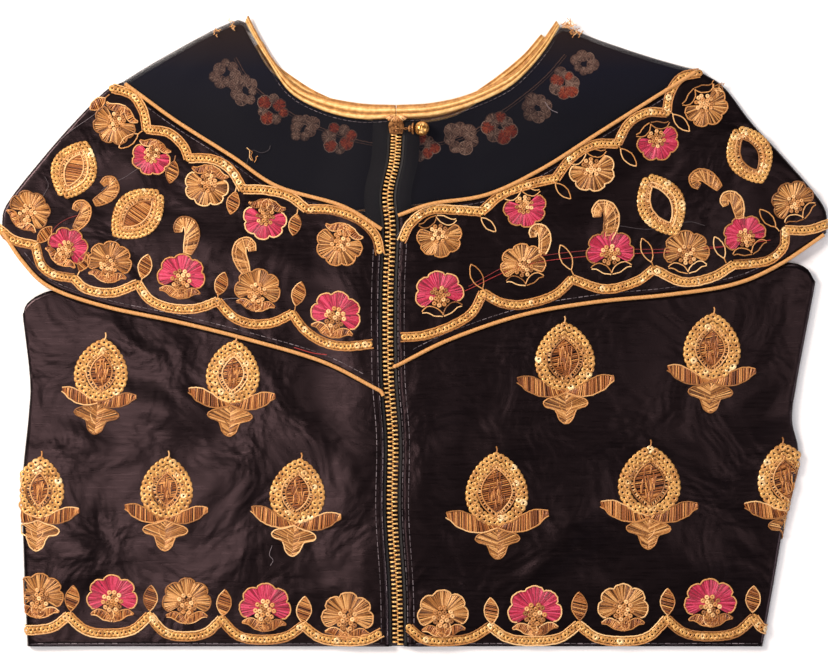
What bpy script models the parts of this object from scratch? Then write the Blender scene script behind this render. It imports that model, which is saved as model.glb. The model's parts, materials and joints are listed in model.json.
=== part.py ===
"""A choli blouse laid flat on its front, so that its zipped back is uppermost.

Metres, +Z up, the neck towards +Y. The blouse lies on the plane z = 0, and the origin is the middle of
its outline on that plane. Tables and sizes are in millimetres: MM turns them into metres.
"""

import math
from collections import namedtuple

import bmesh
import bpy
from mathutils import Matrix, Vector

MM = 0.001

# Cloth and seams
CLOTH = 1.0  # satin with its backing, net, and the zip's tape
BINDING = 1.6  # the neck tape, folded over the raw edge
GAP = 0.3  # clearance between neighbouring pieces
FRONT_MID = 0.5  # middle of the front layer, whose underside rests on z = 0
BACK_MID = 2.8  # middle of the back layer
SIDE_PUFF = 1.0  # how much fuller the cloth stands at the side folds
SIDE_PUFF_FROM = 165.0
SIDE_PUFF_TO = 212.0
FOLD_STEPS = 5
SIDE_SEAM = 0.915  # the side and sleeve seams, as a share of the way from the zip to the fold
SHOULDER_SEAM = 0.95
SEAM_SHARE = 0.003  # the gap at those seams, as the same kind of share
PIPING_RADIUS = 1.1
FRONT_PIPING_RADIUS = 0.45
FRONT_SEAM = FRONT_PIPING_RADIUS + GAP
PIPING_CLEARANCE = 0.5
HEM_Y = -173.5

# Zip
ZIP_MID = 3.1
ZIP_LIFT = 1.6  # how much higher the back layer runs over the zip's tapes
ZIP_LIFT_FULL = 14.0
ZIP_LIFT_ENDS = 44.0
PANEL_TO_ZIP = 4.8  # from the chain's middle to the edge of each panel
CHAIN_HALF = 2.95
CHAIN_THICK = 2.4
TAPE_INNER = 3.6
TAPE_OUTER = 13.0
CHAIN_TOP_Y = 108.1
TAPE_TOP_Y = 116.4
SLIDER_BOTTOM_Y = 108.5
SLIDER_TOP_Y = 117.0
SLIDER_HALF = 4.3
SLIDER_MOUTH = 0.82  # the slider's half width at its mouth, as a share
BRIDGE_RADIUS = 1.3  # the post that joins the slider's two plates
BRIDGE_BELOW_TOP = 3.0
BRIDGE_INTO = 0.4  # how deep the post and the bail run into a plate
PLATE_THICK = 0.8
LOWER_PLATE_Z = 1.3
UPPER_PLATE_Z = 4.1
BAIL_RADIUS = 0.45
BAIL_HALF = 1.7
BAIL_BEND = 0.5

# Pull: it hangs from the bail and lies to the right, with its bead on the yoke
PIVOT = Vector((-9.8, 111.0, 7.4))
PULL_SLOPE = math.radians(7.3)
RING_RADIUS = 1.8
RING_WIRE = 0.4
RING_OFFSET = 0.8
SHANK_FROM = 2.5
SHANK_TO = 6.4
CAP_FROM = 6.7
CAP_TO = 9.8
CAP_NARROW = 1.5
CAP_WIDE = 3.3
BEAD_AT = 14.2
BEAD_RADIUS = 4.0

Place = namedtuple("Place", "x y")
Crease = namedtuple("Crease", "x y heading length width rise")

# The zip's run, from hem to neck
ZIP_RUN = (
    Place(-8.8, -173.5),
    Place(-9.5, -140.0),
    Place(-12.0, -100.0),
    Place(-11.5, -60.0),
    Place(-14.0, -25.0),
    Place(-14.3, 20.0),
    Place(-13.0, 55.0),
    Place(-14.5, 75.0),
    Place(-10.8, 93.0),
    Place(-9.8, 108.0),
    Place(-9.8, 125.0),
)

# Seam between body and band, from the zip outwards; past the armhole it is the sleeve's edge
LOWER_SEAM = {
    "left": (
        Place(-18.0, -33.0),
        Place(-50.0, -17.0),
        Place(-90.0, -5.0),
        Place(-130.0, 5.0),
        Place(-170.0, 13.5),
        Place(-200.0, 24.0),
        Place(-215.0, 38.0),
        Place(-227.0, 56.0),
    ),
    "right": (
        Place(-9.5, -19.0),
        Place(20.0, -4.5),
        Place(60.0, 9.0),
        Place(100.0, 16.0),
        Place(140.0, 20.0),
        Place(175.0, 25.5),
        Place(200.0, 36.0),
        Place(227.0, 54.0),
    ),
}

# Seam between band and yoke, from the zip outwards to the shoulder
UPPER_SEAM = {
    "left": (
        Place(-18.0, 56.0),
        Place(-40.0, 69.0),
        Place(-75.0, 79.5),
        Place(-100.0, 96.0),
        Place(-130.0, 115.0),
        Place(-150.0, 129.5),
        Place(-161.0, 137.5),
    ),
    "right": (
        Place(-8.0, 63.5),
        Place(10.0, 70.0),
        Place(40.0, 75.0),
        Place(70.0, 89.0),
        Place(100.0, 108.0),
        Place(130.0, 127.0),
        Place(157.0, 144.0),
    ),
}

# Outer fold of the cap sleeve, from its lower edge up to the shoulder
SLEEVE_FOLD = {
    "left": (
        Place(-227.7, 56.0),
        Place(-225.0, 69.0),
        Place(-204.6, 95.2),
        Place(-187.6, 115.0),
        Place(-170.0, 133.0),
        Place(-161.0, 137.5),
    ),
    "right": (
        Place(227.7, 54.0),
        Place(225.5, 69.0),
        Place(204.0, 95.2),
        Place(186.0, 115.0),
        Place(171.0, 134.8),
        Place(157.0, 144.0),
    ),
}

# Shoulder fold, from the sleeve up to the neck
SHOULDER = {
    "left": (Place(-161.0, 137.5), Place(-140.0, 150.2), Place(-110.0, 166.5), Place(-92.5, 173.5)),
    "right": (Place(157.0, 144.0), Place(130.0, 151.5), Place(100.0, 161.5), Place(80.0, 170.0)),
}

# Side fold, from the hem up to the armhole
SIDE_FOLD = {
    "left": (
        Place(-212.9, HEM_Y),
        Place(-215.0, -126.0),
        Place(-216.0, -82.0),
        Place(-213.0, -45.0),
        Place(-212.5, -25.0),
        Place(-216.8, 10.0),
    ),
    "right": (
        Place(192.0, HEM_Y),
        Place(197.0, -145.0),
        Place(204.0, -104.0),
        Place(211.8, -68.0),
        Place(208.3, -47.0),
        Place(211.2, -27.0),
        Place(221.8, 28.0),
    ),
}

# Top of the underarm, from the armhole's corner out to the side fold
UNDERARM = {
    "left": (Place(-206.0, 20.0), Place(-213.0, 15.0)),
    "right": (Place(208.0, 37.5), Place(216.0, 34.5)),
}
ARMHOLE_CORNER = {"left": 198.0, "right": 201.0}
CORNER_CLEAR = 6.0  # how far short of the corner the seam's own points stop
COLUMNS_CLEAR = 8.0  # how far short of it the columns shared with the band stop
SEAM_STRIDE = 4  # every so many of a seam's points are kept for the underarm's edge

# Neck binding on the back: lower and upper edge, from the zip up to the shoulder
NECK_LOW = {
    "left": (
        Place(-10.0, 117.5),
        Place(-30.0, 116.8),
        Place(-50.0, 121.5),
        Place(-68.0, 131.5),
        Place(-80.0, 149.0),
        Place(-88.0, 162.0),
        Place(-92.5, 170.5),
    ),
    "right": (
        Place(-9.6, 117.5),
        Place(10.0, 118.5),
        Place(30.0, 124.0),
        Place(50.0, 133.0),
        Place(62.0, 143.0),
        Place(72.0, 155.0),
        Place(80.0, 168.0),
    ),
}
NECK_HIGH = {
    "left": (
        Place(-10.0, 124.0),
        Place(-30.0, 125.0),
        Place(-52.0, 129.5),
        Place(-67.0, 136.5),
        Place(-79.0, 151.0),
        Place(-87.0, 164.5),
        Place(-91.5, 173.5),
    ),
    "right": (
        Place(-9.6, 124.0),
        Place(10.0, 125.2),
        Place(30.0, 130.0),
        Place(50.0, 139.5),
        Place(60.0, 147.0),
        Place(70.0, 158.5),
        Place(78.5, 170.5),
    ),
}

# Upper edge of the front neck's binding, from left to right
FRONT_NECK = (
    Place(-83.5, 159.5),
    Place(-76.0, 147.5),
    Place(-66.0, 139.5),
    Place(-52.0, 131.0),
    Place(-30.0, 122.5),
    Place(-5.0, 119.0),
    Place(20.0, 123.0),
    Place(37.0, 134.0),
    Place(50.0, 143.5),
    Place(61.0, 153.0),
    Place(70.0, 163.5),
)
FRONT_BINDING_WIDE = 5.0
FRONT_MEETS = {"left": -32.0, "right": 12.0}  # where the front's seams leave one side's line for the other

# The largest folds in the back layer: middle, heading in degrees, length, width, rise above the cloth
CREASES = (
    Crease(-150.0, -8.0, -26.0, 66.0, 9.0, 1.1),
    Crease(-156.0, -24.0, -22.0, 70.0, 8.0, -0.8),
    Crease(-136.0, -44.0, -24.0, 78.0, 10.0, 1.3),
    Crease(-188.0, -60.0, -18.0, 56.0, 10.0, 1.2),
    Crease(-118.0, -64.0, 40.0, 120.0, 15.0, -0.8),
    Crease(-182.0, -122.0, -12.0, 60.0, 11.0, 1.2),
    Crease(-170.0, -104.0, 24.0, 56.0, 10.0, -0.7),
    Crease(-96.0, -132.0, 12.0, 90.0, 13.0, 0.8),
    Crease(-62.0, -56.0, -34.0, 70.0, 13.0, 0.9),
    Crease(50.0, -62.0, 29.0, 92.0, 12.0, 1.3),
    Crease(36.0, -50.0, 31.0, 84.0, 12.0, -0.8),
    Crease(84.0, -112.0, 42.0, 76.0, 12.0, 1.4),
    Crease(104.0, -128.0, 22.0, 64.0, 11.0, -0.7),
    Crease(196.0, -46.0, 24.0, 46.0, 9.0, 1.3),
    Crease(188.0, -34.0, 20.0, 46.0, 8.0, -0.7),
    Crease(158.0, -128.0, -30.0, 60.0, 12.0, 0.8),
    Crease(120.0, -52.0, -12.0, 70.0, 14.0, 0.7),
    Crease(-150.0, 98.0, 38.0, 60.0, 12.0, 0.9),
    Crease(-104.0, 44.0, -18.0, 70.0, 13.0, 0.8),
    Crease(-192.0, 74.0, 52.0, 54.0, 11.0, -0.6),
    Crease(96.0, 62.0, 24.0, 80.0, 14.0, 0.8),
    Crease(170.0, 104.0, -42.0, 60.0, 12.0, 0.9),
    Crease(186.0, 60.0, 16.0, 50.0, 11.0, -0.6),
    Crease(-92.0, 118.0, -34.0, 66.0, 12.0, 0.7),
    Crease(82.0, 122.0, 34.0, 70.0, 12.0, 0.7),
)
SEAM_HOLDS = 20.0  # how far a piped seam keeps the folds down
SEAM_KEEPS = 0.3

# Columns and rows of each panel: panels that meet at a seam share its columns
SEAM_COLUMNS = 16
UNDERARM_COLUMNS = 2
BODY_ROWS = 13
BAND_ROWS = 7
YOKE_ROWS = 6
UNDER_STEPS = 3
BINDING_STEPS = 16
FRONT_YOKE_TOP_GAP = 7.0  # the front yoke stops short of the shoulder, below the neck binding
FRONT_PIPING_LIFT = 0.2
SEAM_MARGIN = 0.6  # clearance between a seam's points and the ends they lie between
PIPING_MARGIN = 2.0
PIPING_ENDS = {"piping_lower_": 0.992, "piping_upper_": 0.985}  # share of the seam that each cord covers
ZIP_STEPS = 26
PIPING_STEPS = 32

SATIN = ("black_silk_satin", (0.012, 0.010, 0.009), 0.42, 0.0)
NET = ("navy_black_net", (0.010, 0.009, 0.016), 0.75, 0.0)
GOLD_TAPE = ("gold_neck_tape", (0.72, 0.42, 0.12), 0.38, 0.4)
PIPING = ("tan_piping", (0.72, 0.38, 0.12), 0.6, 0.0)
TAPE = ("woven_zip_tape", (0.012, 0.011, 0.014), 0.85, 0.0)
BRASS = ("brass_teeth", (0.56, 0.30, 0.09), 0.35, 1.0)
BRONZE = ("antique_bronze", (0.16, 0.07, 0.03), 0.4, 1.0)
BEAD = ("bronze_bead", (0.48, 0.24, 0.07), 0.25, 1.0)


class Route:
    """A smooth line on the plane, read by the share of its length."""

    def __init__(self, points):
        self.points = [Vector((p[0], p[1])) for p in points]
        self.lengths = [0.0]
        for before, after in zip(self.points, self.points[1:]):
            self.lengths.append(self.lengths[-1] + (after - before).length)

    def at(self, share):
        """The point at a share, 0 to 1, of the length."""
        wanted = min(max(share, 0.0), 1.0) * self.lengths[-1]
        for i in range(1, len(self.points)):
            if wanted <= self.lengths[i] or i == len(self.points) - 1:
                step = self.lengths[i] - self.lengths[i - 1]
                part = (wanted - self.lengths[i - 1]) / step
                return self.points[i - 1].lerp(self.points[i], part)
        return self.points[-1].copy()

    def shifted(self, distance, towards):
        """The same line moved sideways by a distance, to the side where the point `towards` lies."""
        moved = []
        last = len(self.points) - 1
        for i, point in enumerate(self.points):
            along = self.points[min(i + 1, last)] - self.points[max(i - 1, 0)]
            normal = Vector((-along.y, along.x)).normalized()
            if normal.dot(Vector(towards) - point) < 0:
                normal.negate()
            moved.append(point + normal * distance)
        return Route(moved)

    def trimmed(self, distance):
        """The same line without its last stretch of a given length."""
        end = 1 - distance / self.lengths[-1]
        kept = [p for p, length in zip(self.points, self.lengths) if length < end * self.lengths[-1] - 0.5]
        return Route(kept + [self.at(end)])

    def ending_at(self, point, clear=4.0):
        """The same line with its last stretch replaced by one to a point."""
        kept = [p for p in self.points if (p - self.points[-1]).length > clear]
        return Route(kept + [point])

    def starting_at(self, point, clear=4.0):
        """The same line with its first stretch replaced by one from a point."""
        kept = [p for p in self.points if (p - self.points[0]).length > clear]
        return Route([point] + kept)


UP = (0.0, 1000.0)
DOWN = (0.0, -1000.0)
MIDDLE = (0.0, 0.0)


def smooth(table, pieces=8):
    """A route through a table's places, rounded between them."""
    places = [Vector((p[0], p[1])) for p in table]
    first = places[0] * 2 - places[1]
    last = places[-1] * 2 - places[-2]
    padded = [first] + places + [last]
    line = []
    for i in range(1, len(padded) - 2):
        a, b, c, d = padded[i - 1 : i + 3]
        for k in range(pieces):
            t = k / pieces
            line.append(
                0.5 * (2 * b + (c - a) * t + (2 * a - 5 * b + 4 * c - d) * t**2 + (3 * b - a - 3 * c + d) * t**3)
            )
    line.append(places[-1])
    return Route(line)


def ease(low, high, value):
    """0 below low, 1 above high, and a smooth rise between."""
    t = min(max((value - low) / (high - low), 0.0), 1.0)
    return t * t * (3 - 2 * t)


def shares(count):
    """count + 1 even shares from 0 to 1."""
    return [i / count for i in range(count + 1)]


ZIP_LINE = smooth(ZIP_RUN)
SIGN = {"left": -1.0, "right": 1.0}


def zip_x(y):
    """Where the zip's middle runs at a height y on the blouse."""
    points = ZIP_LINE.points
    for a, b in zip(points, points[1:]):
        if y <= b.y:
            return a.x + (b.x - a.x) * (y - a.y) / (b.y - a.y)
    return points[-1].x


def beside_zip(side, y, distance):
    return Vector((zip_x(y) + SIGN[side] * distance, y))


def seam(table, side):
    """A seam's route from the panel's edge at the zip out to the fold."""
    start = beside_zip(side, table[side][0].y, PANEL_TO_ZIP)
    return smooth((start,) + table[side][1:])


LOWER = {side: seam(LOWER_SEAM, side) for side in SIGN}
UPPER = {side: seam(UPPER_SEAM, side) for side in SIGN}
SEAM_POINTS = [p for routes in (LOWER, UPPER) for route in routes.values() for p in route.points]


def fold_rise(x, y):
    """How far the folds lift or sink the back layer at a place, less near the piped seams."""
    total = 0.0
    for crease in CREASES:
        heading = math.radians(crease.heading)
        dx, dy = x - crease.x, y - crease.y
        along = (dx * math.cos(heading) + dy * math.sin(heading)) / (crease.length / 2)
        across = (dy * math.cos(heading) - dx * math.sin(heading)) / crease.width
        if abs(along) < 1:
            total += crease.rise * (1 - along**2) ** 2 * math.exp(-(across**2))
    near_seam = min(math.hypot(x - p.x, y - p.y) for p in SEAM_POINTS)
    held = SEAM_KEEPS + (1 - SEAM_KEEPS) * ease(4.0, SEAM_HOLDS, near_seam)
    return total * held * ease(ZIP_LIFT_FULL, ZIP_LIFT_ENDS, abs(x - zip_x(y)))


def back_mid(x, y):
    """Height of the back layer's middle."""
    lift = ZIP_LIFT * (1 - ease(ZIP_LIFT_FULL, ZIP_LIFT_ENDS, abs(x - zip_x(y))))
    puff = SIDE_PUFF * ease(SIDE_PUFF_FROM, SIDE_PUFF_TO, abs(x))
    return BACK_MID + lift + puff + fold_rise(x, y)


def fold_reach(side_x):
    """How far a fold's outer face stands beyond the edge of the back layer."""
    puff = SIDE_PUFF * ease(SIDE_PUFF_FROM, SIDE_PUFF_TO, abs(side_x))
    return (BACK_MID + puff - FRONT_MID) / 2 + CLOTH / 2


class Panel:
    """A four-sided panel on the plane, filled in between its four edges."""

    def __init__(self, bottom, top, near, far):
        self.bottom, self.top, self.near, self.far = bottom, top, near, far

    def at(self, across, upwards):
        low, high = self.bottom.at(across), self.top.at(across)
        inner, outer = self.near.at(upwards), self.far.at(upwards)
        ruled = low.lerp(high, upwards) + inner.lerp(outer, across)
        corners = self.bottom.at(0).lerp(self.bottom.at(1), across).lerp(
            self.top.at(0).lerp(self.top.at(1), across), upwards
        )
        return ruled - corners

    def upright(self, across, rows, low_gap, high_gap):
        """Points up the panel at one share of its width, on its rows, with a gap left at each end."""
        points = [self.at(across, v) for v in shares(rows)]
        points[0] += (points[1] - points[0]).normalized() * low_gap
        points[-1] += (points[-2] - points[-1]).normalized() * high_gap
        return points


def zip_edge(side, low, high):
    return Route([beside_zip(side, low + (high - low) * t, PANEL_TO_ZIP) for t in shares(12)])


def inner_fold(table, side):
    """The edge of the flat back layer, inside the fold's outline."""
    route = smooth(table[side])
    return route.shifted(fold_reach(table[side][0].x), MIDDLE)


def body_panel(side):
    far = inner_fold(SIDE_FOLD, side)
    low_corner = Vector((far.at(0).x, HEM_Y))
    far = far.starting_at(low_corner)
    line = LOWER[side].shifted(GAP / 2, DOWN)
    kept = [p for p in line.points if abs(p.x) < ARMHOLE_CORNER[side] - CORNER_CLEAR][::SEAM_STRIDE]
    corner = line.at(1)
    for point in line.points:
        if abs(point.x) < ARMHOLE_CORNER[side]:
            corner = point
    top = smooth(kept + [corner] + list(UNDERARM[side]) + [far.at(1)], 4)
    near = zip_edge(side, HEM_Y, top.at(0).y).ending_at(top.at(0))
    bottom = Route([near.at(0).lerp(low_corner, t) for t in shares(8)])
    return Panel(bottom, top, near, far)


def band_panel(side):
    reach = fold_reach(SLEEVE_FOLD[side][0].x)
    bottom = LOWER[side].shifted(GAP / 2, UP).trimmed(reach)
    top = UPPER[side].shifted(GAP / 2, DOWN).trimmed(reach)
    far = inner_fold(SLEEVE_FOLD, side).starting_at(bottom.at(1)).ending_at(top.at(1))
    near = zip_edge(side, bottom.at(0).y, top.at(0).y).starting_at(bottom.at(0)).ending_at(top.at(0))
    return Panel(bottom, top, near, far)


def yoke_panel(side):
    reach = fold_reach(SHOULDER[side][-1].x)
    neck = smooth(NECK_LOW[side]).shifted(2 * GAP, DOWN)
    start = beside_zip(side, neck.at(0).y, PANEL_TO_ZIP)
    neck = Route([start] + [p for p in neck.points if SIGN[side] * (p.x - start.x) > 1.0])
    top = neck.trimmed(reach)
    bottom = UPPER[side].shifted(GAP / 2, UP).trimmed(reach + GAP)
    far = inner_fold(SHOULDER, side).starting_at(bottom.at(1)).ending_at(top.at(1))
    near = zip_edge(side, bottom.at(0).y, start.y).starting_at(bottom.at(0))
    return Panel(bottom, top, near, far)


PARTS = bpy.data.collections.new("choli_blouse")
materials = {}


def material(kind):
    name, colour, roughness, metallic = kind
    if name not in materials:
        made = bpy.data.materials.new(name)
        made.use_nodes = True
        shader = made.node_tree.nodes["Principled BSDF"]
        shader.inputs["Base Color"].default_value = (*colour, 1.0)
        shader.inputs["Roughness"].default_value = roughness
        shader.inputs["Metallic"].default_value = metallic
        materials[name] = made
    return materials[name]


def add_object(name, data, kind):
    piece = bpy.data.objects.new(name, data)
    piece.data.materials.clear()
    piece.data.materials.append(material(kind))
    PARTS.objects.link(piece)
    return piece


def shell(name, rows, thickness, kind):
    """A wall of cloth from rows of points on its middle surface."""
    mesh = bmesh.new()
    lines = [[mesh.verts.new(Vector(point) * MM) for point in row] for row in rows]
    for low, high in zip(lines, lines[1:]):
        for i in range(len(low) - 1):
            mesh.faces.new((low[i], low[i + 1], high[i + 1], high[i]))
    bmesh.ops.recalc_face_normals(mesh, faces=mesh.faces[:])
    if sum(face.normal.z for face in mesh.faces) < 0:
        bmesh.ops.reverse_faces(mesh, faces=mesh.faces[:])
    data = bpy.data.meshes.new(name)
    mesh.to_mesh(data)
    mesh.free()
    data.shade_smooth()
    piece = add_object(name, data, kind)
    wall = piece.modifiers.new("wall", "SOLIDIFY")
    wall.thickness = thickness * MM
    wall.offset = 0.0
    return piece


def body_columns(body, band, side):
    """Shares across the body: the band's columns as far as the armhole, then those of the underarm."""
    body_length = body.top.lengths[-1]
    step = band.bottom.lengths[-1] / SEAM_COLUMNS
    widest = ARMHOLE_CORNER[side] - COLUMNS_CLEAR
    shared = [i * step for i in range(SEAM_COLUMNS) if abs(body.top.at(i * step / body_length).x) < widest]
    rest = [shared[-1] + (body_length - shared[-1]) * t for t in shares(UNDERARM_COLUMNS)]
    return [distance / body_length for distance in shared + rest[1:]]


def folded_rows(panel, columns, row_count, seam_share):
    """The back layer, its fold, and the strip that runs on underneath to the seam."""
    rows = []
    for v in shares(row_count):
        flat = [panel.at(u, v) for u in columns]
        row = [Vector((p.x, p.y, back_mid(p.x, p.y))) for p in flat]
        edge = row[-1]
        outward = flat[-1] - flat[-2]
        outward.normalize()
        radius = (edge.z - FRONT_MID) / 2
        for i in range(1, FOLD_STEPS):
            turn = math.pi * i / FOLD_STEPS
            out = outward * radius * math.sin(turn)
            row.append(Vector((edge.x + out.x, edge.y + out.y, FRONT_MID + radius * (1 + math.cos(turn)))))
        for share in shares(UNDER_STEPS):
            p = panel.at(1 - (1 - seam_share) * share, v)
            row.append(Vector((p.x, p.y, FRONT_MID)))
        rows.append(row)
    return rows


def flat_piece(name, outline, thickness, kind):
    """A flat piece that rests on z = 0."""
    data = bpy.data.curves.new(name, "CURVE")
    data.dimensions = "2D"
    data.fill_mode = "BOTH"
    data.extrude = thickness / 2 * MM
    spline = data.splines.new("POLY")
    spline.points.add(len(outline) - 1)
    for point, place in zip(spline.points, outline):
        point.co = (place.x * MM, place.y * MM, 0.0, 1.0)
    spline.use_cyclic_u = True
    piece = add_object(name, data, kind)
    piece.location.z = thickness / 2 * MM
    return piece


def tube(name, points, radius, kind):
    data = bpy.data.curves.new(name, "CURVE")
    data.dimensions = "3D"
    data.bevel_depth = radius * MM
    data.bevel_resolution = 2
    data.use_fill_caps = True
    spline = data.splines.new("POLY")
    spline.points.add(len(points) - 1)
    for point, place in zip(spline.points, points):
        point.co = (place[0] * MM, place[1] * MM, place[2] * MM, 1.0)
    return add_object(name, data, kind)


def meshed(piece):
    """A curve object as a closed mesh object, ready to be joined."""
    bpy.context.view_layer.update()
    graph = bpy.context.evaluated_depsgraph_get()
    data = bpy.data.meshes.new_from_object(piece.evaluated_get(graph))
    mesh = bmesh.new()
    mesh.from_mesh(data)
    bmesh.ops.remove_doubles(mesh, verts=mesh.verts[:], dist=1e-6)
    bmesh.ops.recalc_face_normals(mesh, faces=mesh.faces[:])
    mesh.to_mesh(data)
    mesh.free()
    name, place, kind = piece.name, piece.matrix_world.copy(), piece.data.materials[0]
    bpy.data.objects.remove(piece)
    made = bpy.data.objects.new(name, data)
    made.data.materials.clear()
    made.data.materials.append(kind)
    made.matrix_world = place
    PARTS.objects.link(made)
    return made


def join(piece, others):
    """Adds other solids to a piece, and takes the separate ones away."""
    for other in others:
        union = piece.modifiers.new("join_" + other.name, "BOOLEAN")
        union.operation = "UNION"
        union.object = other
        bpy.context.view_layer.update()
        graph = bpy.context.evaluated_depsgraph_get()
        piece.data = bpy.data.meshes.new_from_object(piece.evaluated_get(graph))
        piece.modifiers.clear()
        bpy.data.objects.remove(other)


def build_backs():
    """Body, band and yoke on each side of the zip, with the panels they were laid out on."""
    panels = {}
    for side in SIGN:
        body, band, yoke = body_panel(side), band_panel(side), yoke_panel(side)
        columns = shares(SEAM_COLUMNS)
        across = body_columns(body, band, side)
        shell("back_" + side, folded_rows(body, across, BODY_ROWS, SIDE_SEAM), CLOTH, SATIN)
        shell("back_band_" + side, folded_rows(band, columns, BAND_ROWS, SIDE_SEAM), CLOTH, SATIN)
        shell("back_yoke_" + side, folded_rows(yoke, columns, YOKE_ROWS, SHOULDER_SEAM), CLOTH, NET)
        panels[side] = {"body": body, "band": band, "yoke": yoke}
    return panels


def seam_across(routes):
    """A seam's line across the whole front, from left to right."""
    left = [p for p in routes["left"].points if p.x < FRONT_MEETS["left"]]
    right = [p for p in routes["right"].points if p.x > FRONT_MEETS["right"]]
    return smooth(left[::-3] + right[::3], 2)


def between(route, left, right, margin=SEAM_MARGIN):
    """The points of a line that lie between two end points, with a margin."""
    return [p for p in route.points if left.x + margin < p.x < right.x - margin]


def build_front(panels):
    """The front body, band and yoke, which lie flat under the back."""
    uprights = {}
    for side in SIGN:
        body, band, yoke = (panels[side][name] for name in ("body", "band", "yoke"))
        uprights[side] = {
            "body": body.upright(SIDE_SEAM - SEAM_SHARE, BODY_ROWS, 0.0, FRONT_SEAM),
            "band": band.upright(SIDE_SEAM - SEAM_SHARE, BAND_ROWS, FRONT_SEAM, FRONT_SEAM),
            "yoke": yoke.upright(SHOULDER_SEAM - 3 * SEAM_SHARE, YOKE_ROWS, FRONT_SEAM, FRONT_YOKE_TOP_GAP),
        }
    left, right = uprights["left"], uprights["right"]
    lower_line, upper_line = seam_across(LOWER), seam_across(UPPER)
    under, over = lower_line.shifted(FRONT_SEAM, DOWN), lower_line.shifted(FRONT_SEAM, UP)
    below_yoke, above_band = upper_line.shifted(FRONT_SEAM, DOWN), upper_line.shifted(FRONT_SEAM, UP)
    top_edge = between(under, left["body"][-1], right["body"][-1])
    flat_piece("front_body", left["body"] + top_edge + right["body"][::-1], CLOTH, SATIN)
    low_edge = between(over, left["band"][0], right["band"][0])
    high_edge = between(below_yoke, left["band"][-1], right["band"][-1])
    flat_piece("front_band", left["band"] + high_edge + right["band"][::-1] + low_edge[::-1], CLOTH, SATIN)
    neck = smooth(FRONT_NECK)
    binding_low = neck.shifted(FRONT_BINDING_WIDE, DOWN)
    binding = neck.points[::2] + [neck.points[-1]] + [binding_low.points[-1]] + binding_low.points[::-2]
    flat_piece("neck_binding_front", binding, CLOTH, GOLD_TAPE)
    yoke_top = neck.shifted(FRONT_BINDING_WIDE + GAP, DOWN).points[::2]
    yoke_low = between(above_band, left["yoke"][0], right["yoke"][0])
    flat_piece("front_yoke", left["yoke"] + yoke_top + right["yoke"][::-1] + yoke_low[::-1], CLOTH, NET)
    lower = between(lower_line, left["body"][-1], right["body"][-1], PIPING_MARGIN)
    upper = between(upper_line, left["band"][-1], right["band"][-1], PIPING_MARGIN)
    height = FRONT_PIPING_RADIUS + FRONT_PIPING_LIFT
    tube("piping_lower_front", [(p.x, p.y, height) for p in lower], FRONT_PIPING_RADIUS, PIPING)
    tube("piping_upper_front", [(p.x, p.y, height) for p in upper], FRONT_PIPING_RADIUS, PIPING)


def build_neck():
    """The gold tape round the back neck, in two lengths that meet over the zip."""
    for side in SIGN:
        low, high = smooth(NECK_LOW[side]), smooth(NECK_HIGH[side])
        meet = GAP / 2 * SIGN[side]
        low_start = Vector((zip_x(low.at(0).y) + meet, low.at(0).y))
        high_start = Vector((zip_x(high.at(0).y) + meet, high.at(0).y))
        low = Route([low_start] + [p for p in low.points if SIGN[side] * (p.x - low_start.x) > 1])
        high = Route([high_start] + [p for p in high.points if SIGN[side] * (p.x - high_start.x) > 1])
        rows = []
        for share in shares(BINDING_STEPS):
            ends = low.at(share), high.at(share)
            rows.append([(p.x, p.y, back_mid(p.x, p.y)) for p in (ends[0], ends[0].lerp(ends[1], 0.5), ends[1])])
        shell("neck_binding_" + side, rows, BINDING, GOLD_TAPE)


def build_piping():
    """The corded seams on the back."""
    above = CLOTH / 2 + PIPING_CLEARANCE + PIPING_RADIUS
    for side in SIGN:
        for name, routes in (("piping_lower_", LOWER), ("piping_upper_", UPPER)):
            points = [routes[side].at(PIPING_ENDS[name] * t) for t in shares(PIPING_STEPS)]
            tube(name + side, [(p.x, p.y, back_mid(p.x, p.y) + above) for p in points], PIPING_RADIUS, PIPING)


def zip_strip(name, inner, outer, top_y, thickness, kind):
    """A strip that follows the zip, between two distances from its middle."""
    rows = []
    for t in shares(ZIP_STEPS):
        y = HEM_Y + (top_y - HEM_Y) * t
        middle = zip_x(y)
        rows.append([(middle + inner, y, ZIP_MID), (middle + outer, y, ZIP_MID)])
    return shell(name, rows, thickness, kind)


def slider_plate(name, base_z):
    """One plate of the slider: round at the top, narrower at its mouth."""
    middle_x = PIVOT.x
    shoulder_y = SLIDER_TOP_Y - SLIDER_HALF
    outline = []
    for t in shares(10):
        turn = math.pi * t
        x = middle_x + SLIDER_HALF * math.cos(turn)
        outline.append(Vector((x, shoulder_y + SLIDER_HALF * math.sin(turn))))
    outline.append(Vector((middle_x - SLIDER_HALF * SLIDER_MOUTH, SLIDER_BOTTOM_Y)))
    outline.append(Vector((middle_x + SLIDER_HALF * SLIDER_MOUTH, SLIDER_BOTTOM_Y)))
    plate = flat_piece(name, outline, PLATE_THICK, BRONZE)
    plate.location.z += base_z * MM
    return meshed(plate)


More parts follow.
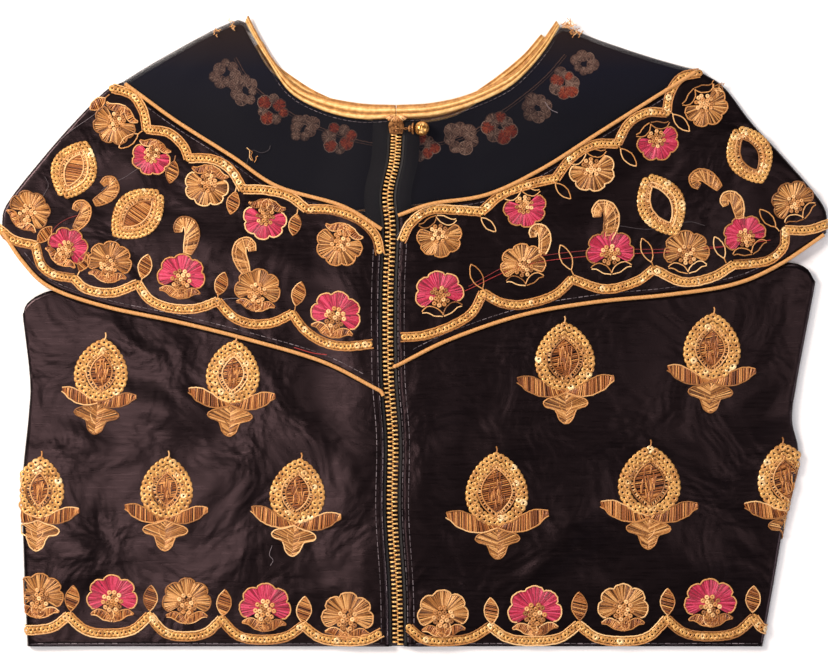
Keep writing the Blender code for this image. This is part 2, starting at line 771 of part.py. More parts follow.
def build_zip():
    zip_strip("zip_tape_left", -TAPE_OUTER, -TAPE_INNER, TAPE_TOP_Y, CLOTH, TAPE)
    zip_strip("zip_tape_right", TAPE_INNER, TAPE_OUTER, TAPE_TOP_Y, CLOTH, TAPE)
    zip_strip("zip_chain", -CHAIN_HALF, CHAIN_HALF, CHAIN_TOP_Y, CHAIN_THICK, BRASS)
    lower = slider_plate("lower_plate", LOWER_PLATE_Z)
    slider = slider_plate("zip_slider", UPPER_PLATE_Z)
    bridge_y = SLIDER_TOP_Y - BRIDGE_BELOW_TOP
    post = [
        (PIVOT.x, bridge_y, LOWER_PLATE_Z + PLATE_THICK - BRIDGE_INTO),
        (PIVOT.x, bridge_y, UPPER_PLATE_Z + BRIDGE_INTO),
    ]
    bridge = meshed(tube("bridge", post, BRIDGE_RADIUS, BRONZE))
    low, high = UPPER_PLATE_Z + PLATE_THICK - BRIDGE_INTO, PIVOT.z
    arch = [(-BAIL_HALF, low), (-BAIL_HALF, high - BAIL_BEND), (-BAIL_HALF + BAIL_BEND, high)]
    arch += [(-y, z) for y, z in arch[::-1]]
    bail = meshed(tube("bail", [(PIVOT.x, PIVOT.y + y, z) for y, z in arch], BAIL_RADIUS, BRONZE))
    join(slider, [bridge, lower, bail])


def along_pull(name, mesh, kind, parent):
    data = bpy.data.meshes.new(name)
    mesh.to_mesh(data)
    mesh.free()
    piece = add_object(name, data, kind)
    piece.parent = parent
    piece.data.shade_smooth()
    return piece


def build_pull():
    """The pull: its parts lie along the X axis of an empty that sits on the bail."""
    pivot = bpy.data.objects.new("zip_pull_pivot", None)
    pivot.location = PIVOT * MM
    pivot.rotation_euler = (0.0, -PULL_SLOPE, 0.0)
    pivot.empty_display_size = 0.005
    PARTS.objects.link(pivot)
    bpy.ops.mesh.primitive_torus_add(
        major_radius=RING_RADIUS * MM, minor_radius=RING_WIRE * MM, major_segments=20, minor_segments=8
    )
    ring = bpy.context.object
    ring.name = "zip_pull_link"
    ring.data.transform(Matrix.Translation((RING_OFFSET * MM, 0, 0)) @ Matrix.Rotation(math.pi / 2, 4, "X"))
    for collection in ring.users_collection:
        collection.objects.unlink(ring)
    PARTS.objects.link(ring)
    ring.data.materials.append(material(BRONZE))
    shank = meshed(tube("shank", [(SHANK_FROM, 0, 0), (SHANK_TO, 0, 0)], RING_WIRE, BRONZE))
    join(ring, [shank])
    ring.parent = pivot
    along_x = Matrix.Rotation(math.pi / 2, 4, "Y")
    cap = bmesh.new()
    bmesh.ops.create_cone(
        cap,
        cap_ends=True,
        segments=20,
        radius1=CAP_NARROW * MM,
        radius2=CAP_WIDE * MM,
        depth=(CAP_TO - CAP_FROM) * MM,
        matrix=Matrix.Translation(((CAP_FROM + CAP_TO) / 2 * MM, 0, 0)) @ along_x,
    )
    along_pull("zip_pull_cap", cap, BRONZE, pivot)
    bead = bmesh.new()
    bmesh.ops.create_uvsphere(
        bead,
        u_segments=20,
        v_segments=12,
        radius=BEAD_RADIUS * MM,
        matrix=Matrix.Translation((BEAD_AT * MM, 0, 0)) @ along_x,
    )
    along_pull("zip_pull_bead", bead, BEAD, pivot)


def main():
    for leftover in list(bpy.data.objects):
        bpy.data.objects.remove(leftover)
    bpy.context.scene.collection.children.link(PARTS)
    panels = build_backs()
    build_front(panels)
    build_neck()
    build_piping()
    build_zip()
    build_pull()


main()
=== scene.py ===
"""A choli blouse laid flat on its front, with the zipped back uppermost: the visual model.

Metres, +Z up, the neck towards +Y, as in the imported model. Tables and sizes are in millimetres, and MM
turns them into metres. Cloth is a thin shell on its solid's form, embroidery is real thread, sequin and
cord laid on it, and the zip is made tooth by tooth.
"""

from __future__ import annotations

import json
import logging
import math
import random
from collections import namedtuple
from dataclasses import dataclass, field
from enum import Enum
from typing import Callable, Iterable, NamedTuple, Sequence

import bmesh
import bpy
import numpy as np
from bpy.types import Material, Mesh, Node, NodeOutputs, NodeSocket, NodeTree, Object
from mathutils import Matrix, Vector

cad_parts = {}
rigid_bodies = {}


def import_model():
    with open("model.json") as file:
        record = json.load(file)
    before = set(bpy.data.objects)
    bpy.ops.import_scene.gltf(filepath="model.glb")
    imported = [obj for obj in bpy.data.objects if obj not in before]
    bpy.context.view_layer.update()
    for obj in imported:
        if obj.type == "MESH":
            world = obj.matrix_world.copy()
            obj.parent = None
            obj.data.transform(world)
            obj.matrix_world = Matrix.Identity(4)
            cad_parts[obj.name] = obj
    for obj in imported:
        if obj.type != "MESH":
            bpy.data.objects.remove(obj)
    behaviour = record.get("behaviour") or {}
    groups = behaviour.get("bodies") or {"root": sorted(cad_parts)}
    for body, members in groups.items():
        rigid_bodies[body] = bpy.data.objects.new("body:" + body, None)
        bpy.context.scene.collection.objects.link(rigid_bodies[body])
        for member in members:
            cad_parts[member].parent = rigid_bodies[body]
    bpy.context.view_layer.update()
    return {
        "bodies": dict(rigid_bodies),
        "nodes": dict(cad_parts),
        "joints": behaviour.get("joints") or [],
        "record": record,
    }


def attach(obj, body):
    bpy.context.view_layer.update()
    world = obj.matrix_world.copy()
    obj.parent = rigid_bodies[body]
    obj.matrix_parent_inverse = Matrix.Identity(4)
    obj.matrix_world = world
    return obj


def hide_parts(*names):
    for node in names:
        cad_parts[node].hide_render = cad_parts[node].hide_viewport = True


LOG = logging.getLogger("choli_blouse")
MM = 0.001

# The solids' own sizes, repeated from the CAD part
FRONT_MID = 0.5
BACK_MID = 2.8
SIDE_PUFF = 1.0
SIDE_PUFF_FROM = 165.0
SIDE_PUFF_TO = 212.0
HEM_Y = -173.5
GAP = 0.3
SIDE_SEAM = 0.915
SHOULDER_SEAM = 0.95
FRONT_SEAM = 0.75
ZIP_MID = 3.1
ZIP_LIFT = 1.6
ZIP_LIFT_FULL = 14.0
ZIP_LIFT_ENDS = 44.0
PANEL_TO_ZIP = 4.8
CHAIN_TOP_Y = 108.1
TAPE_TOP_Y = 116.4
PIVOT = Vector((-9.8, 111.0, 7.4))
PULL_SLOPE = math.radians(7.3)
CLOTH_REACH = 0.5  # half the CAD cloth's thickness

Pair = tuple[float, float]
Place = namedtuple("Place", "x y")
Crease = namedtuple("Crease", "x y heading length width rise")
Sewn = namedtuple("Sewn", "x y turn size")
Bloom = namedtuple("Bloom", "x y turn size pink")
Drop = namedtuple("Drop", "x y turn wide tall reach")
Arc = namedtuple("Arc", "x0 y0 x y x1 y1")


def rows(kind: type, *table: tuple) -> tuple:
    """A table's rows, each with the names of its columns."""
    return tuple(kind(*row) for row in table)


# The zip's run, from hem to neck
ZIP_RUN = rows(
    Place,
    (-8.8, -173.5), (-9.5, -140), (-12, -100), (-11.5, -60), (-14, -25), (-14.3, 20), (-13, 55),
    (-14.5, 75), (-10.8, 93), (-9.8, 108), (-9.8, 125),
)

# Seam between body and band, from the zip outwards; past the armhole it is the sleeve's edge
LOWER_SEAM = {
    "left": rows(
        Place, (-18, -33), (-50, -17), (-90, -5), (-130, 5), (-170, 13.5), (-200, 24), (-215, 38),
        (-227, 56),
    ),
    "right": rows(
        Place, (-9.5, -19), (20, -4.5), (60, 9), (100, 16), (140, 20), (175, 25.5), (200, 36), (227, 54),
    ),
}

# Seam between band and yoke, from the zip outwards to the shoulder
UPPER_SEAM = {
    "left": rows(
        Place, (-18, 56), (-40, 69), (-75, 79.5), (-100, 96), (-130, 115), (-150, 129.5), (-161, 137.5),
    ),
    "right": rows(Place, (-8, 63.5), (10, 70), (40, 75), (70, 89), (100, 108), (130, 127), (157, 144)),
}

# Outer fold of the cap sleeve, from its lower edge up to the shoulder
SLEEVE_FOLD = {
    "left": rows(Place, (-227.7, 56), (-225, 69), (-204.6, 95.2), (-187.6, 115), (-170, 133), (-161, 137.5)),
    "right": rows(Place, (227.7, 54), (225.5, 69), (204, 95.2), (186, 115), (171, 134.8), (157, 144)),
}

# Shoulder fold, from the sleeve up to the neck
SHOULDER = {
    "left": rows(Place, (-161, 137.5), (-140, 150.2), (-110, 166.5), (-92.5, 173.5)),
    "right": rows(Place, (157, 144), (130, 151.5), (100, 161.5), (80, 170)),
}

# Side fold, from the hem up to the armhole
SIDE_FOLD = {
    "left": rows(Place, (-212.9, HEM_Y), (-215, -126), (-216, -82), (-213, -45), (-212.5, -25), (-216.8, 10)),
    "right": rows(
        Place, (192, HEM_Y), (197, -145), (204, -104), (211.8, -68), (208.3, -47), (211.2, -27),
        (221.8, 28),
    ),
}

# Top of the underarm, from the armhole's corner out to the side fold
UNDERARM = {"left": rows(Place, (-206, 20), (-213, 15)), "right": rows(Place, (208, 37.5), (216, 34.5))}
ARMHOLE_CORNER = {"left": 198.0, "right": 201.0}

# Neck binding on the back: lower and upper edge, from the zip up to the shoulder
NECK_LOW = {
    "left": rows(
        Place, (-10, 117.5), (-30, 116.8), (-50, 121.5), (-68, 131.5), (-80, 149), (-88, 162),
        (-92.5, 170.5),
    ),
    "right": rows(Place, (-9.6, 117.5), (10, 118.5), (30, 124), (50, 133), (62, 143), (72, 155), (80, 168)),
}
NECK_HIGH = {
    "left": rows(
        Place, (-10, 124), (-30, 125), (-52, 129.5), (-67, 136.5), (-79, 151), (-87, 164.5),
        (-91.5, 173.5),
    ),
    "right": rows(
        Place, (-9.6, 124), (10, 125.2), (30, 130), (50, 139.5), (60, 147), (70, 158.5), (78.5, 170.5),
    ),
}

# Upper edge of the front neck's binding, from left to right
FRONT_NECK = rows(
    Place,
    (-83.5, 159.5), (-76, 147.5), (-66, 139.5), (-52, 131), (-30, 122.5), (-5, 119), (20, 123), (37, 134),
    (50, 143.5), (61, 153), (70, 163.5),
)
FRONT_BINDING_WIDE = 5.0
FRONT_MEETS = {"left": -32.0, "right": 12.0}  # where the front's seams leave one side's line for the other

# The largest folds in the back layer: middle, heading in degrees, length, width, rise above the cloth
CREASES = rows(
    Crease,
    (-150, -8, -26, 66, 9, 1.1), (-156, -24, -22, 70, 8, -0.8), (-136, -44, -24, 78, 10, 1.3),
    (-188, -60, -18, 56, 10, 1.2), (-118, -64, 40, 120, 15, -0.8), (-182, -122, -12, 60, 11, 1.2),
    (-170, -104, 24, 56, 10, -0.7), (-96, -132, 12, 90, 13, 0.8), (-62, -56, -34, 70, 13, 0.9),
    (50, -62, 29, 92, 12, 1.3), (36, -50, 31, 84, 12, -0.8), (84, -112, 42, 76, 12, 1.4),
    (104, -128, 22, 64, 11, -0.7), (196, -46, 24, 46, 9, 1.3), (188, -34, 20, 46, 8, -0.7),
    (158, -128, -30, 60, 12, 0.8), (120, -52, -12, 70, 14, 0.7), (-150, 98, 38, 60, 12, 0.9),
    (-104, 44, -18, 70, 13, 0.8), (-192, 74, 52, 54, 11, -0.6), (96, 62, 24, 80, 14, 0.8),
    (170, 104, -42, 60, 12, 0.9), (186, 60, 16, 50, 11, -0.6), (-92, 118, -34, 66, 12, 0.7),
    (82, 122, 34, 70, 12, 0.7),
)
SEAM_HOLDS = 20.0  # how far a piped seam keeps the folds down
SEAM_KEEPS = 0.3


# Small soft wrinkles between those folds, too fine for the solids: same columns
WRINKLES = rows(
    Crease,
    (-168, 4, -24, 50, 4.5, 0.42), (-140, -10, -30, 46, 4, -0.34), (-176, -44, -20, 44, 4.2, 0.40),
    (-128, -34, -32, 52, 4.6, 0.36), (-196, -76, -14, 34, 4, 0.42), (-158, -66, 34, 60, 5.2, 0.38),
    (-110, -84, 44, 70, 5.6, 0.34), (-188, -136, 8, 44, 4.6, 0.46), (-150, -112, 30, 52, 5, -0.36),
    (-88, -118, 22, 60, 5.4, 0.34), (-54, -142, 14, 54, 5, 0.30), (-38, -76, -50, 48, 5, 0.30),
    (22, -70, 30, 66, 5.4, 0.44), (64, -46, 24, 60, 5, -0.36), (94, -98, 52, 52, 5, 0.46),
    (112, -118, 60, 40, 4.6, 0.40), (70, -130, 36, 48, 5, 0.38), (148, -56, -20, 50, 5.2, 0.30),
    (186, -118, -34, 44, 5, 0.36), (202, -34, 28, 30, 4, 0.46), (-176, 96, 46, 44, 5, 0.40),
    (-134, 70, 30, 50, 5.2, -0.32), (-72, 40, -24, 52, 5.2, 0.34), (-204, 84, 58, 36, 4.6, 0.36),
    (54, 50, 20, 56, 5.4, 0.34), (126, 92, 36, 54, 5.2, 0.38), (196, 78, -48, 40, 4.8, 0.38),
    (-60, 98, -22, 60, 6, 0.30), (44, 100, 26, 64, 6, 0.30), (-120, 146, 34, 44, 5.4, 0.30),
)


class Route:
    """A smooth line on the plane, read by the share of its length."""

    def __init__(self, points: Iterable[Sequence[float]]) -> None:
        """Measures the line.

        Args:
            points: places along the line, in millimetres.
        """
        self.points = [Vector((p[0], p[1])) for p in points]
        self.lengths = [0.0]
        for before, after in zip(self.points, self.points[1:]):
            self.lengths.append(self.lengths[-1] + (after - before).length)

    @property
    def length(self) -> float:
        """The line's whole length."""
        return self.lengths[-1]

    def at(self, share: float) -> Vector:
        """The point at a share, 0 to 1, of the length."""
        wanted = min(max(share, 0.0), 1.0) * self.length
        for i in range(1, len(self.points)):
            if wanted <= self.lengths[i] or i == len(self.points) - 1:
                step = self.lengths[i] - self.lengths[i - 1]
                return self.points[i - 1].lerp(self.points[i], (wanted - self.lengths[i - 1]) / step)
        return self.points[-1].copy()

    def spaced(self, step: float) -> list[Vector]:
        """Points a steady step apart along the line."""
        count = max(2, round(self.length / step))
        return [self.at(i / count) for i in range(count + 1)]

    def shifted(self, distance: float, towards: Sequence[float]) -> Route:
        """The same line moved sideways, to the side where a point lies.

        Args:
            distance: how far it moves.
            towards: a point on the side it moves to.

        Returns:
            The moved line.
        """
        moved = []
        last = len(self.points) - 1
        for i, point in enumerate(self.points):
            along = self.points[min(i + 1, last)] - self.points[max(i - 1, 0)]
            normal = Vector((-along.y, along.x)).normalized()
            if normal.dot(Vector(towards) - point) < 0:
                normal.negate()
            moved.append(point + normal * distance)
        return Route(moved)

    def beside(self, distance: float) -> Route:
        """The same line moved to its left by a distance."""
        moved = []
        last = len(self.points) - 1
        for i, point in enumerate(self.points):
            along = (self.points[min(i + 1, last)] - self.points[max(i - 1, 0)]).normalized()
            moved.append(point + Vector((-along.y, along.x)) * distance)
        return Route(moved)

    def trimmed(self, distance: float) -> Route:
        """The same line without its last stretch of a given length."""
        end = 1 - distance / self.length
        kept = [p for p, length in zip(self.points, self.lengths) if length < end * self.length - 0.5]
        return Route(kept + [self.at(end)])

    def ending_at(self, point: Vector, clear: float = 4.0) -> Route:
        """The same line with its last stretch replaced by one to a point."""
        return Route([p for p in self.points if (p - self.points[-1]).length > clear] + [point])

    def starting_at(self, point: Vector, clear: float = 4.0) -> Route:
        """The same line with its first stretch replaced by one from a point."""
        return Route([point] + [p for p in self.points if (p - self.points[0]).length > clear])


UP = (0.0, 1000.0)
DOWN = (0.0, -1000.0)
MIDDLE = (0.0, 0.0)
SIGN = {"left": -1.0, "right": 1.0}


def smooth(table: Iterable[Sequence[float]], pieces: int = 8) -> Route:
    """A route through a table's places, rounded between them.

    Args:
        table: the places.
        pieces: how many straight pieces stand for each gap between places.

    Returns:
        The rounded route.
    """
    places = [Vector((p[0], p[1])) for p in table]
    padded = [places[0] * 2 - places[1]] + places + [places[-1] * 2 - places[-2]]
    line = []
    for i in range(1, len(padded) - 2):
        a, b, c, d = padded[i - 1 : i + 3]
        for k in range(pieces):
            t = k / pieces
            line.append(
                0.5
                * (2 * b + (c - a) * t + (2 * a - 5 * b + 4 * c - d) * t**2 + (3 * b - a - 3 * c + d) * t**3)
            )
    return Route(line + [places[-1]])


def ease(low: float, high: float, value: float) -> float:
    """0 below low, 1 above high, and a smooth rise between."""
    t = np.clip((value - low) / (high - low), 0.0, 1.0)
    return t * t * (3 - 2 * t)


def shares(count: int) -> list[float]:
    """count + 1 even shares from 0 to 1."""
    return [i / count for i in range(count + 1)]


ZIP_LINE = smooth(ZIP_RUN)


def zip_x(y: float) -> float:
    """Where the zip's middle runs at a height y on the blouse."""
    points = ZIP_LINE.points
    for a, b in zip(points, points[1:]):
        if y <= b.y:
            return a.x + (b.x - a.x) * (y - a.y) / (b.y - a.y)
    return points[-1].x


def beside_zip(side: str, y: float, distance: float) -> Vector:
    """The point at a distance from the zip's middle, to one side."""
    return Vector((zip_x(y) + SIGN[side] * distance, y))


def seam(table: dict, side: str) -> Route:
    """A seam's route from the panel's edge at the zip out to the fold."""
    start = beside_zip(side, table[side][0].y, PANEL_TO_ZIP)
    return smooth((start,) + table[side][1:])


LOWER = {side: seam(LOWER_SEAM, side) for side in SIGN}
UPPER = {side: seam(UPPER_SEAM, side) for side in SIGN}


class ClothForm:
    """Height of the back layer's middle surface, kept on a fine grid so that it reads fast."""

    STEP = 1.0  # grid spacing
    REACH_X = 232.0
    REACH_Y = 178.0

    def __init__(self) -> None:
        """Works out the height at every grid point."""
        xs = np.arange(-self.REACH_X, self.REACH_X + self.STEP, self.STEP)
        ys = np.arange(-self.REACH_Y, self.REACH_Y + self.STEP, self.STEP)
        x, y = np.meshgrid(xs, ys)
        zip_at = np.array([zip_x(float(v)) for v in ys])[:, None]
        off_zip = np.abs(x - zip_at)
        held = SEAM_KEEPS + (1 - SEAM_KEEPS) * ease(4.0, SEAM_HOLDS, self.near_seams(x, y))
        clear = ease(ZIP_LIFT_FULL, ZIP_LIFT_ENDS, off_zip)
        lift = ZIP_LIFT * (1 - clear)
        puff = SIDE_PUFF * ease(SIDE_PUFF_FROM, SIDE_PUFF_TO, np.abs(x))
        folds = self.waves(CREASES, x, y) * held * clear
        ripples = self.waves(WRINKLES, x, y) * (0.35 + 0.65 * held) * ease(7.0, 20.0, off_zip)
        self.height = BACK_MID + lift + puff + folds + ripples

    @staticmethod
    def near_seams(x: np.ndarray, y: np.ndarray) -> np.ndarray:
        """Distance from each grid point to the nearest piped seam."""
        near = np.full(x.shape, 1e9)
        for routes in (LOWER, UPPER):
            for route in routes.values():
                for p in route.points:
                    near = np.minimum(near, np.hypot(x - p.x, y - p.y))
        return near

    @staticmethod
    def waves(table: Sequence[Crease], x: np.ndarray, y: np.ndarray) -> np.ndarray:
        """The sum of a table's folds at each grid point."""
        total = np.zeros(x.shape)
        for crease in table:
            heading = math.radians(crease.heading)
            dx, dy = x - crease.x, y - crease.y
            along = (dx * math.cos(heading) + dy * math.sin(heading)) / (crease.length / 2)
            across = (dy * math.cos(heading) - dx * math.sin(heading)) / crease.width
            inside = np.abs(along) < 1
            total += np.where(inside, crease.rise * (1 - along**2) ** 2 * np.exp(-(across**2)), 0.0)
        return total

    def at(self, x: float, y: float) -> float:
        """The middle surface's height at a place."""
        u = min(max((x + self.REACH_X) / self.STEP, 0.0), self.height.shape[1] - 1.001)
        v = min(max((y + self.REACH_Y) / self.STEP, 0.0), self.height.shape[0] - 1.001)
        i, j = int(u), int(v)
        fu, fv = u - i, v - j
        grid = self.height
        low = grid[j, i] * (1 - fu) + grid[j, i + 1] * fu
        high = grid[j + 1, i] * (1 - fu) + grid[j + 1, i + 1] * fu
        return float(low * (1 - fv) + high * fv)


FORM = ClothForm()


def fold_reach(side_x: float) -> float:
    """How far a fold's outer face stands beyond the edge of the flat back layer."""
    puff = SIDE_PUFF * float(ease(SIDE_PUFF_FROM, SIDE_PUFF_TO, abs(side_x)))
    return (BACK_MID + puff - FRONT_MID) / 2 + CLOTH_REACH


class Panel:
    """A four-sided panel on the plane, filled in between its four edges."""

    def __init__(self, bottom: Route, top: Route, near: Route, far: Route) -> None:
        """Keeps the edges.

        Args:
            bottom: lower edge, from the zip outwards.
            top: upper edge, from the zip outwards.
            near: the edge along the zip, upwards.
            far: the edge at the fold, upwards.
        """
        self.bottom, self.top, self.near, self.far = bottom, top, near, far

    def at(self, across: float, upwards: float) -> Vector:
        """The point at a share of the way across and up."""
        low, high = self.bottom.at(across), self.top.at(across)
        inner, outer = self.near.at(upwards), self.far.at(upwards)
        ruled = low.lerp(high, upwards) + inner.lerp(outer, across)
        corners = self.bottom.at(0).lerp(self.bottom.at(1), across).lerp(
            self.top.at(0).lerp(self.top.at(1), across), upwards
        )
        return ruled - corners

    def upright(self, across: float, rows: int, low_gap: float, high_gap: float) -> list[Vector]:
        """Points up the panel at one share of its width, with a gap left at each end."""
        points = [self.at(across, v) for v in shares(rows)]
        points[0] += (points[1] - points[0]).normalized() * low_gap
        points[-1] += (points[-2] - points[-1]).normalized() * high_gap
        return points

    def cut(self, hidden: float) -> tuple[float, float, float]:
        """The flat piece's width, height and area in metres.

        Args:
            hidden: cloth that runs on round the fold and underneath, in millimetres.

        Returns:
            Width and length of the rectangle it is cut from, and its own area.
        """
        edge = self.bottom.spaced(5.0) + self.far.spaced(5.0)
        edge += self.top.spaced(5.0)[::-1] + self.near.spaced(5.0)[::-1]
        twice = sum(a.x * b.y - b.x * a.y for a, b in zip(edge, edge[1:] + edge[:1]))
        wide = max(p.x for p in edge) - min(p.x for p in edge) + hidden
        tall = max(p.y for p in edge) - min(p.y for p in edge)
        area = abs(twice) / 2 + hidden * self.far.length
        return wide * MM, tall * MM, area * MM * MM


def zip_edge(side: str, low: float, high: float) -> Route:
    """The panel's edge along the zip between two heights."""
    return Route([beside_zip(side, low + (high - low) * t, PANEL_TO_ZIP) for t in shares(12)])


def inner_fold(table: dict, side: str) -> Route:
    """The edge of the flat back layer, inside the fold's outline."""
    return smooth(table[side]).shifted(fold_reach(table[side][0].x), MIDDLE)


def body_panel(side: str) -> Panel:
    """The body's back on one side of the zip, from the hem to the band's seam."""
    far = inner_fold(SIDE_FOLD, side)
    low_corner = Vector((far.at(0).x, HEM_Y))
    far = far.starting_at(low_corner)
    line = LOWER[side].shifted(GAP / 2, DOWN)
    kept = [p for p in line.points if abs(p.x) < ARMHOLE_CORNER[side] - 6][::4]
    corner = [p for p in line.points if abs(p.x) < ARMHOLE_CORNER[side]][-1]
    top = smooth(kept + [corner] + list(UNDERARM[side]) + [far.at(1)], 4)
    near = zip_edge(side, HEM_Y, top.at(0).y).ending_at(top.at(0))
    bottom = Route([near.at(0).lerp(low_corner, t) for t in shares(8)])
    return Panel(bottom, top, near, far)


def band_panel(side: str) -> Panel:
    """The shoulder band's back with its cap sleeve."""
    reach = fold_reach(SLEEVE_FOLD[side][0].x)
    bottom = LOWER[side].shifted(GAP / 2, UP).trimmed(reach)
    top = UPPER[side].shifted(GAP / 2, DOWN).trimmed(reach)
    far = inner_fold(SLEEVE_FOLD, side).starting_at(bottom.at(1)).ending_at(top.at(1))
    near = zip_edge(side, bottom.at(0).y, top.at(0).y).starting_at(bottom.at(0)).ending_at(top.at(0))
    return Panel(bottom, top, near, far)


def yoke_panel(side: str) -> Panel:
    """The net yoke's back, from the band up to the neck."""
    reach = fold_reach(SHOULDER[side][-1].x)
    neck = smooth(NECK_LOW[side]).shifted(2 * GAP, DOWN)
    start = beside_zip(side, neck.at(0).y, PANEL_TO_ZIP)
    neck = Route([start] + [p for p in neck.points if SIGN[side] * (p.x - start.x) > 1.0])
    bottom = UPPER[side].shifted(GAP / 2, UP).trimmed(reach + GAP)
    top = neck.trimmed(reach)
    far = inner_fold(SHOULDER, side).starting_at(bottom.at(1)).ending_at(top.at(1))
    near = zip_edge(side, bottom.at(0).y, start.y).starting_at(bottom.at(0))
    return Panel(bottom, top, near, far)


def linear(hex_colour: str) -> tuple[float, float, float, float]:
    """An sRGB hex colour as linear red, green, blue and alpha."""
    channels = [int(hex_colour[i : i + 2], 16) / 255 for i in (1, 3, 5)]
    return (*((c / 12.92 if c <= 0.04045 else ((c + 0.055) / 1.055) ** 2.4) for c in channels), 1.0)


def add(
    tree: NodeTree, kind: str, inputs: dict | None = None,
    feeds: NodeSocket | None = None, **settings: object,
) -> Node:
    """Adds a node.

    Args:
        tree: the tree it goes in.
        kind: the node's type name, where one with no "Node" in it is a shader node's.
        inputs: socket name or number to a value, or to the node or output that feeds it.
        feeds: a socket that the node's first output goes to.
        settings: the node's own properties.

    Returns:
        The new node.
    """
    made = tree.nodes.new(kind if "Node" in kind else "ShaderNode" + kind)
    for name, value in settings.items():
        setattr(made, name, value)
    for key, value in (inputs or {}).items():
        source = value.outputs[0] if isinstance(value, Node) else value
        if isinstance(source, NodeSocket):
            tree.links.new(source, made.inputs[key])
        else:
            made.inputs[key].default_value = source
    if feeds is not None:
        tree.links.new(made.outputs[0], feeds)
    return made


def ramp(node: Node, *stops: tuple[float, str]) -> None:
    """Sets a colour ramp's stops, each a place from 0 to 1 and a hex colour."""
    band = node.color_ramp
    for element, (place, colour) in zip(band.elements, (stops[0], stops[-1])):
        element.position, element.color = place, linear(colour)
    for place, colour in stops[1:-1]:
        band.elements.new(place).color = linear(colour)


class Bench(NamedTuple):
    """What a finish works on: its tree and shader, Object coordinates in metres, and its ramp's factor."""

    tree: NodeTree
    shader: Node
    place: NodeSocket
    tone: NodeSocket


@dataclass(frozen=True)
class Finish:
    """What every finish has: a maker's name, a dark, a middle and a light colour, and how it shines."""

    name: str
    dark: str
    mid: str
    light: str
    roughness: float = 0.5
    metallic: float = 0.0
    sheen: float = 0.0

    def material(self) -> Material:
        """The finish's material, made once.

        Returns:
            The material, with the finish's own pattern in it.
        """
        found = bpy.data.materials.get(self.name)
        if found is None:
            found = bpy.data.materials.new(self.name)
            found.use_nodes = True
            tree = found.node_tree
            tree.nodes.clear()
            shines = {"Roughness": self.roughness, "Metallic": self.metallic, "Sheen Weight": self.sheen}
            shader = add(tree, "BsdfPrincipled", shines | {"Sheen Tint": linear(self.light)})
            bands = add(tree, "ValToRGB", feeds=shader.inputs["Base Color"])
            ramp(bands, *self.stops())
            place = add(tree, "TexCoord").outputs["Object"]
            surface = self.dress(Bench(tree, shader, place, bands.inputs["Fac"]))
            add(tree, "OutputMaterial", {"Surface": surface})
        return found

    def stops(self) -> tuple[tuple[float, str], ...]:
        """Where the colour ramp has each colour."""
        return ((0.0, self.dark), (0.5, self.mid), (1.0, self.light))

    def dress(self, bench: Bench) -> NodeSocket:
        """Adds the finish's own pattern.

        Args:
            bench: what it works on.

        Returns:
            The output that feeds the surface.
        """
        raise NotImplementedError


class SilkSatin(Finish):
    """Woven silk satin: black with a mauve sheen on the slopes, and fine slubs along the weft."""

    def stops(self) -> tuple[tuple[float, str], ...]:
        """A longer dark part."""
        return ((0.0, self.dark), (0.55, self.mid), (1.0, self.light))

    def dress(self, bench: Bench) -> NodeSocket:
        """Adds slubs 25 mm long and 0.7 mm high, a weave, slow clouds of lighter colour that are a painted
        uneven sheen, and soft crumples.

        The real weave is too fine to show, so it is drawn at 0.9 mm.

        Args:
            bench: what it works on.

        Returns:
            The output that feeds the surface.
        """
        tree, shader, place, tone = bench
        slub_at = add(tree, "Mapping", {"Vector": place, "Scale": (60.0, 800.0, 60.0)})
        weave_at = add(tree, "Mapping", {"Vector": place, "Scale": (1100.0, 1100.0, 1100.0)})
        slub = add(tree, "TexNoise", {"Vector": slub_at, "Scale": 1.0, "Detail": 3.0})
        weave = add(tree, "TexNoise", {"Vector": weave_at, "Scale": 1.0, "Detail": 2.0})
        # Slow clouds that lift the base colour: a painted uneven sheen, beside the real sheen that the lamps
        # give
        cloud = add(tree, "TexNoise", {"Vector": place, "Scale": 14.0, "Detail": 3.0})
        mixed = add(tree, "Math", {0: slub, 1: weave}, operation="ADD")
        part = add(tree, "Math", {0: mixed, 1: cloud}, operation="ADD")
        add(tree, "MapRange", {"Value": part, "From Min": 0.9, "From Max": 2.2}, tone)
        rough = {"Value": slub, "To Min": self.roughness - 0.05, "To Max": self.roughness + 0.1}
        add(tree, "MapRange", rough, shader.inputs["Roughness"])
        crumple = add(tree, "TexNoise", {"Vector": place, "Scale": 27.0, "Detail": 3.0, "Distortion": 0.5})
        soft = add(tree, "Bump", {"Strength": 0.8, "Distance": 0.003, "Height": crumple})
        fine = {"Strength": 0.3, "Distance": 0.0001, "Height": mixed, "Normal": soft}
        add(tree, "Bump", fine, shader.inputs["Normal"])
        shader.inputs["Sheen Roughness"].default_value = 0.45
        shader.inputs["Specular IOR Level"].default_value = 0.28
        shader.inputs["Specular Tint"].default_value = linear("#ffd8e0")
        return shader.outputs[0]


